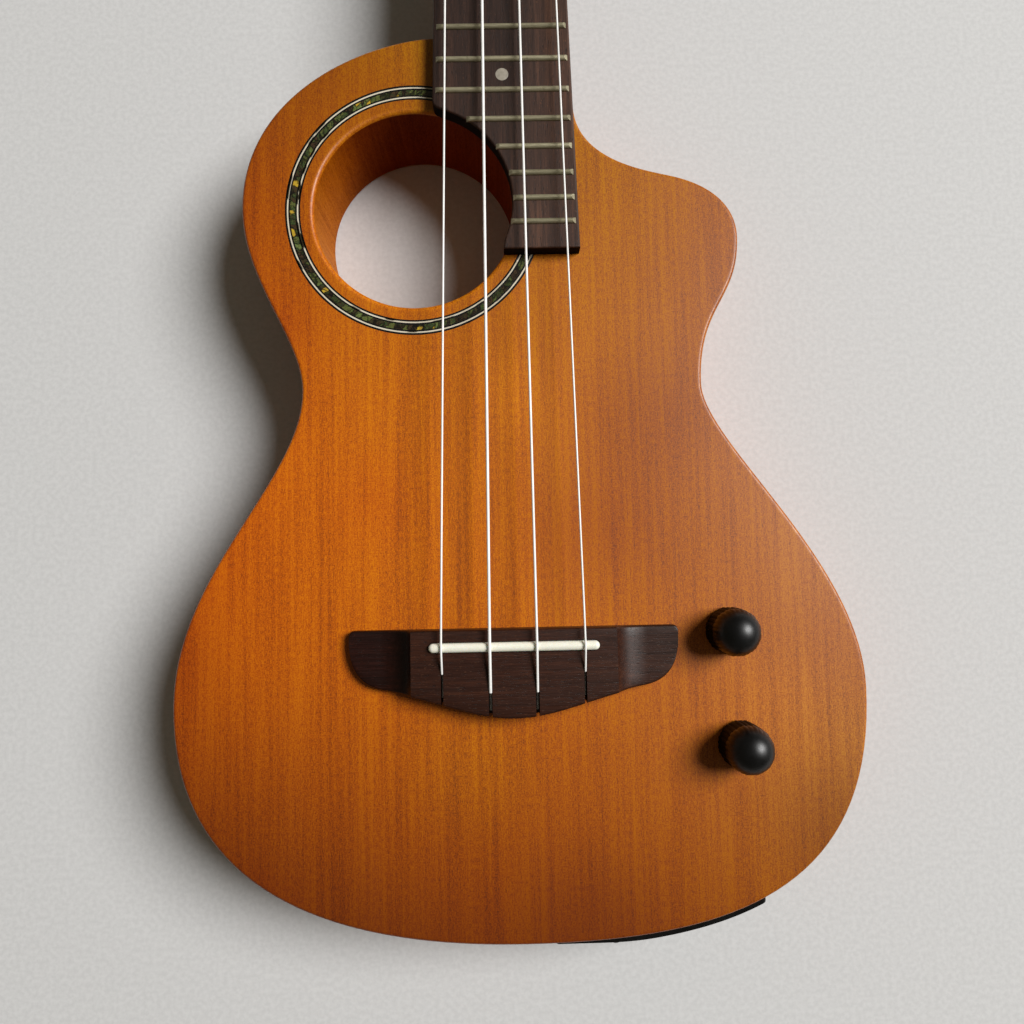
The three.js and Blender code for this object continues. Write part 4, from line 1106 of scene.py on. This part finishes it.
def knobs():
    base = FACE + 0.6
    steps, ribs = 240, 30
    profile = [(6.3, base + 2.4, 0), (6.4, base, 0), (7.3, base, 0.2), (7.6, base + 0.3, 1), (7.6, base + 3, 1),
               (7.58, base + 6, 1), (7.52, base + 8.2, 1)]
    for degrees in (4, 9, 15, 22, 30, 39, 48, 58, 68, 78, 86):
        angle = math.radians(degrees)
        fade = max(0.0, 1 - degrees / 40) ** 1.2
        profile.append((7.5 * math.cos(angle) + 0.02, base + 8.6 + 7.5 * math.sin(angle), fade))
    for name, (cx, cy) in KNOBS.items():
        shape = Shape()
        angles = turn(steps)
        groove = 0.2 * (0.5 + 0.5 * np.cos(angles * ribs)) ** 2.4 + 0.09 * (1 + np.cos(angles * 12))
        rings = []
        for radius, z, depth in profile:
            r = radius - groove * depth
            rings.append(np.column_stack([cx + r * np.cos(angles), cy + r * np.sin(angles), np.full(steps, z)]))
        shape.skin(rings)
        lathe(shape, cx, cy, 0, [(2.85, CEILING - 6), (2.85, base + 2.5)], 32)
        shape.paint(1, lambda corners: corners[:, 2].max() < base + 8.4)
        piece(f"{name}_knob_cap", shape, [black_rubber, ribbed_rubber], body=f"{name}_knob",
              replaces=[f"{name}_knob"], sharp=50)


def stand(x):
    """How far the plate's face stands off the body: more towards the battery."""
    t = np.clip((x - 12.5) / 30, 0, 1)
    return 2 + 1.2 * t * t * (3 - 2 * t)


def on_line(x, line):
    return np.interp(x, line[:, 0], line[:, 1])


def plate_lines():
    """Points along the plate's face and its back, and their feet on the outline with their outward normals."""
    loop = outline(90)
    normal, _ = normals(loop)
    keep = (loop[:, 1] < -45) & (loop[:, 0] > 0)
    order = np.argsort(loop[keep, 0])
    at, outward = loop[keep][order], -normal[keep][order]
    xs = np.arange(8, 84.1, 0.5)
    feet = np.column_stack([xs, on_line(xs, at)])
    outward = np.column_stack([np.interp(xs, at[:, 0], outward[:, i]) for i in (0, 1)])
    return feet + outward * stand(xs)[:, None], feet + outward * 0.35, feet, outward


# the opening for the drawer, the drawer in it, and the plate
DOOR_X = (BATTERY_X - 14.85, BATTERY_X + 14.85)
DOOR_Z = (7.4, 26.9)
PLATE_X = (12.0, 79.7)
PLATE_Z = (4.0, 31.0)
PLATE_CORNER = 1.1
DRAWER_X = (BATTERY_X - 14.45, BATTERY_X + 14.45)
DRAWER_Z = (7.8, 26.5)
TRAY_TOP = 24.5
TRAY_END = -39.8


def jack_plate():
    """The curved plate, with an opening for the drawer and the jack in front of it."""
    left, right = PLATE_X
    corner = PLATE_CORNER
    face, back, points, outward = plate_lines()
    near_end = corner * (1 - np.cos(np.linspace(0, math.pi / 2, 8)))
    xs = np.unique([*np.arange(left, right, 1.2), *DOOR_X, *(left + near_end), *(right - near_end)])
    shape = Shape()
    numbers = []
    for x in xs:
        from_end = min(x - left, right - x)
        tuck = corner - math.sqrt(corner ** 2 - max(0, corner - from_end) ** 2)
        front, rear = on_line(x, face), on_line(x, back)
        low, high = PLATE_Z[0] + tuck, PLATE_Z[1] - tuck
        numbers.append(shape.ring([(x, y, z) for y, z in (
            (rear, low), (front + 0.5, low), (front + 0.15, low + 0.15), (front, low + 0.5),
            (front, DOOR_Z[0]), (front, DOOR_Z[1]),
            (front, high - 0.5), (front + 0.15, high - 0.15), (front + 0.5, high), (rear, high),
            (rear, DOOR_Z[1]), (rear, DOOR_Z[0]))]))
    first, last = (int(np.argmin(np.abs(xs - x))) for x in DOOR_X)
    for i, (one, two) in enumerate(zip(numbers, numbers[1:])):
        through = first <= i < last
        for level in range(12):
            if not (through and level in (4, 10)):
                shape.quad(one, two, level, (level + 1) % 12)
        if through:
            shape.face((one[4], two[4], two[11], one[11]))
            shape.face((one[5], two[5], two[10], one[10]))
    shape.face(numbers[0])
    shape.face(numbers[-1])
    for i in (first, last):
        shape.face((numbers[i][4], numbers[i][5], numbers[i][10], numbers[i][11]))
    piece("jack_plate_face", shape, black_plastic, replaces=["jack_plate"], sharp=40)
    sleeve = Shape()

    def corners(xs, zs, back):
        return [(x, SLEEVE_BACK if back else on_line(x, points) + 0.1, z) for x, z in (
            (xs[0], zs[0]), (xs[1], zs[0]), (xs[1], zs[1]), (xs[0], zs[1]))]

    sleeve.hoop([corners(SLEEVE_X, SLEEVE_Z, False), corners(SLEEVE_X, SLEEVE_Z, True),
                 corners(DOOR_X, DOOR_Z, True), corners(DOOR_X, DOOR_Z, False)])
    piece("battery_sleeve", sleeve, black_plastic)
    screws = Shape()
    for x, z in ((31.0, 28.9), (31.0, 6.0), (73.0, 28.0), (73.0, 7.0), (16.0, 28.0), (16.0, 7.0)):
        screw_on_plate(screws, x, z, points, outward)
    piece("plate_screws", screws, cast_metal, sharp=40)


def screw_on_plate(shape, x, z, points, outward):
    """A pan head with a cross recess, square to the plate."""
    n = np.array([np.interp(x, points[:, 0], outward[:, i]) for i in (0, 1)])
    n /= np.linalg.norm(n)
    foot = np.array([x, on_line(x, points)]) + n * (stand(x) - 0.3)
    across = np.array([-n[1], n[0]])
    rings = []
    for radius, out, cross in ((1.5, 0, 0), (1.5, 0.4, 0), (1.4, 0.6, 0), (1.15, 0.75, 0), (0.95, 0.8, 0),
                               (0.85, 0.82, 1), (0.7, 0.4, 1)):
        ring = []
        for i in range(32):
            angle = 2 * math.pi * i / 32
            r = radius * (0.32 if 2 <= i % 8 <= 6 else 1) if cross else radius
            turned = angle + 0.7 * x
            flat = foot + n * out + across * r * math.cos(turned)
            ring.append((flat[0], flat[1], z + r * math.sin(turned)))
        rings.append(ring)
    shape.skin(rings)


def output_jack():
    """Washer, hexagon nut and threaded bushing on the plate, with the socket behind them."""
    x, z = JACK
    metal = Shape()

    def band(stations, steps, phase=0.0):
        metal.hoop([circle_about_y(x, z, r, -y, steps, phase) for r, y in stations])

    band([(4.75, 98.3), (6.95, 98.3), (6.95, 98.95), (6.8, 99.1), (4.75, 99.1)], 48)
    band([(4.7, 99.1), (6.75, 99.1), (6.9, 99.3), (6.9, 100.5), (6.6, 100.8), (4.7, 100.8)], 6, 0.3)
    thread = [(3.25, 92.4), (4.5, 92.4)]
    for i in range(14):
        thread.append((4.5 if i % 2 else 4.68, 97.2 + i * 0.29))
    thread += [(4.3, 101.3), (3.5, 101.3), (3.25, 101.05)]
    band(thread, 48)
    piece("output_jack_metal", metal, bright_metal, replaces=["output_jack"], sharp=30)
    barrel = Shape()
    stations = [(0.01, 67.3), (7.3, 67.3), (7.3, 92.4), (3.3, 92.4), (3.3, 70.4), (0.01, 70.4)]
    barrel.skin([circle_about_y(x, z, r, -y, 32) for r, y in stations], caps=(False, False))
    piece("output_jack_barrel", barrel, black_plastic)


def battery_drawer():
    """The drawer's curved front with a finger notch, and its tray."""
    face = plate_lines()[0]
    xs = np.linspace(*DRAWER_X, 40)
    low, high = DRAWER_Z
    front = Shape()
    columns = []
    for x, face_y in zip(xs, on_line(xs, face)):
        edge = min(x - xs[0], xs[-1] - x)
        soft = 0.35 * max(0, 1 - edge / 0.7) ** 2
        notch = math.exp(-((x - BATTERY_X) / 5.2) ** 4)
        column = [(x, -89.6, low), (x, face_y + 0.45 + soft, low), (x, face_y + 0.1 + soft, low + 0.15),
                  (x, face_y + soft, low + 0.5)]
        for z in np.linspace(low + 1.5, high - 7.0, 8):
            column.append((x, face_y + soft, z))
        for z in np.linspace(high - 6.4, high - 0.5, 9):
            dip = 1.6 * notch * np.clip((z - (high - 6.2)) / 4.6, 0, 1) ** 0.7
            column.append((x, face_y + soft + dip, z))
        dip = 1.6 * notch
        column += [(x, face_y + 0.1 + soft + dip, high - 0.15), (x, face_y + 0.45 + soft + dip, high),
                   (x, -89.6, high)]
        columns.append(column)
    front.skin(columns)
    piece("drawer_front", front, black_plastic, body="battery_drawer",
          replaces=["battery_drawer"], sharp=40)
    tray = Shape()
    (x0, x1), z0 = DRAWER_X, DRAWER_Z[0]
    for low_corner, high_corner in (
        ((x0, -89.7, z0), (x1, TRAY_END, 8.9)), ((x0, -89.7, 8.8), (x0 + 0.9, TRAY_END, TRAY_TOP)),
        ((x1 - 0.9, -89.7, 8.8), (x1, TRAY_END, TRAY_TOP)), ((x0, TRAY_END - 1.1, 8.8), (x1, TRAY_END, TRAY_TOP)),
    ):
        box(tray, low_corner, high_corner)
    piece("drawer_tray", tray, black_plastic, body="battery_drawer")
    low_corner, high_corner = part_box("battery")
    cell = Shape()
    x0, y0, z0 = (v / MM for v in low_corner)
    x1, y1, z1 = (v / MM for v in high_corner)
    split = y1 - 15
    box(cell, (x0, y0 + 0.8, z0), (x1, split, z1), 0)
    box(cell, (x0, split, z0), (x1, y1 - 3.2, z1), 1)
    piece("battery_can", cell, [battery_skin, battery_band],
          body="battery_drawer", replaces=["battery"], bevel=1.1)
    caps = Shape()
    for dx, radius in ((-6.4, 3.0), (6.4, 3.9)):
        cx, cz = (x0 + x1) / 2 + dx, (z0 + z1) / 2
        caps.skin([circle_about_y(cx, cz, radius * width, y1 - depth, 24) for width, depth in (
            (0.8, 3.3), (0.8, 1.6), (1, 1.2), (1, 0.3), (0.8, 0.05))])
    piece("battery_terminals", caps, bright_metal, body="battery_drawer", sharp=35)


top_board()
back_board()
hole_wall()
side_band()
rosette()
neck()
headstock()
fingerboard()
frets()
bridge()
saddle()
strings()
nut()
tuners()
knobs()
jack_plate()
output_jack()
battery_drawer()

for node, finish in (
    ("neck_block", inner_wood), ("tail_block", inner_wood), ("top_lining", inner_wood),
    ("back_lining", inner_wood), ("bridge_patch", inner_wood), ("piezo_strip", cast_metal),
    ("volume_pot", bright_metal), ("tone_pot", bright_metal),
):
    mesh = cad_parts[node].data
    mesh.materials.clear()
    mesh.materials.append(finish.material)

# ------------------------------------------------------------------ floor, light and camera

floor_mesh = bpy.data.meshes.new("floor")
floor_mesh.from_pydata([(-14, -14, 0), (14, -14, 0), (14, 14, 0), (-14, 14, 0)], [], [(0, 1, 2, 3)])
floor = add_object("floor", floor_mesh)
floor.location.z = -0.0002
floor_finish = Finish("floor_grey", Roughness=0.8, Specular_IOR_Level=0.1)
floor_finish.set(Base_Color=floor_finish.ramp(floor_finish.noise((0.6, 0.6, 0.6), 2.0), [
    (0.35, (199, 199, 199)), (0.65, (207, 207, 207))]))
floor_mesh.materials.append(floor_finish.material)

light = bpy.data.lights.new("window", "AREA")
light.shape = "DISK"
light.size = 3.3
light.energy = 505
light.color = (1.0, 0.99, 0.975)
window = add_object("window", light)
azimuth, elevation = math.radians(20), math.radians(46)
toward = Vector((math.cos(elevation) * math.cos(azimuth), math.cos(elevation) * math.sin(azimuth),
                 math.sin(elevation)))
window.location = Vector((0.0, 0.06, 0.02)) + toward * 6.0
window.rotation_euler = toward.to_track_quat("Z", "Y").to_euler()

world = bpy.data.worlds.new("room")
world.use_nodes = True
world.node_tree.nodes["Background"].inputs["Color"].default_value = (1.0, 0.9, 0.66, 1.0)
world.node_tree.nodes["Background"].inputs["Strength"].default_value = 0.086
bpy.context.scene.world = world
bpy.context.scene.view_settings.view_transform = "Standard"
bpy.context.scene.view_settings.look = "None"

PITCH, YAW, ROLL = (math.radians(a) for a in (-4.28, 0.60, 1.10))
camera_data = bpy.data.cameras.new("camera")
camera_data.sensor_width = 36
camera_data.lens = 27.04
camera_data.clip_start = 0.01
camera = add_object("camera", camera_data)
tilt = Matrix.Rotation(ROLL, 3, "Z") @ Matrix.Rotation(YAW, 3, "Y") @ Matrix.Rotation(PITCH, 3, "X")
camera.matrix_world = Matrix.Translation((-0.0021, 0.0214, 0.2854)) @ tilt.transposed().to_4x4()
bpy.context.scene.camera = camera
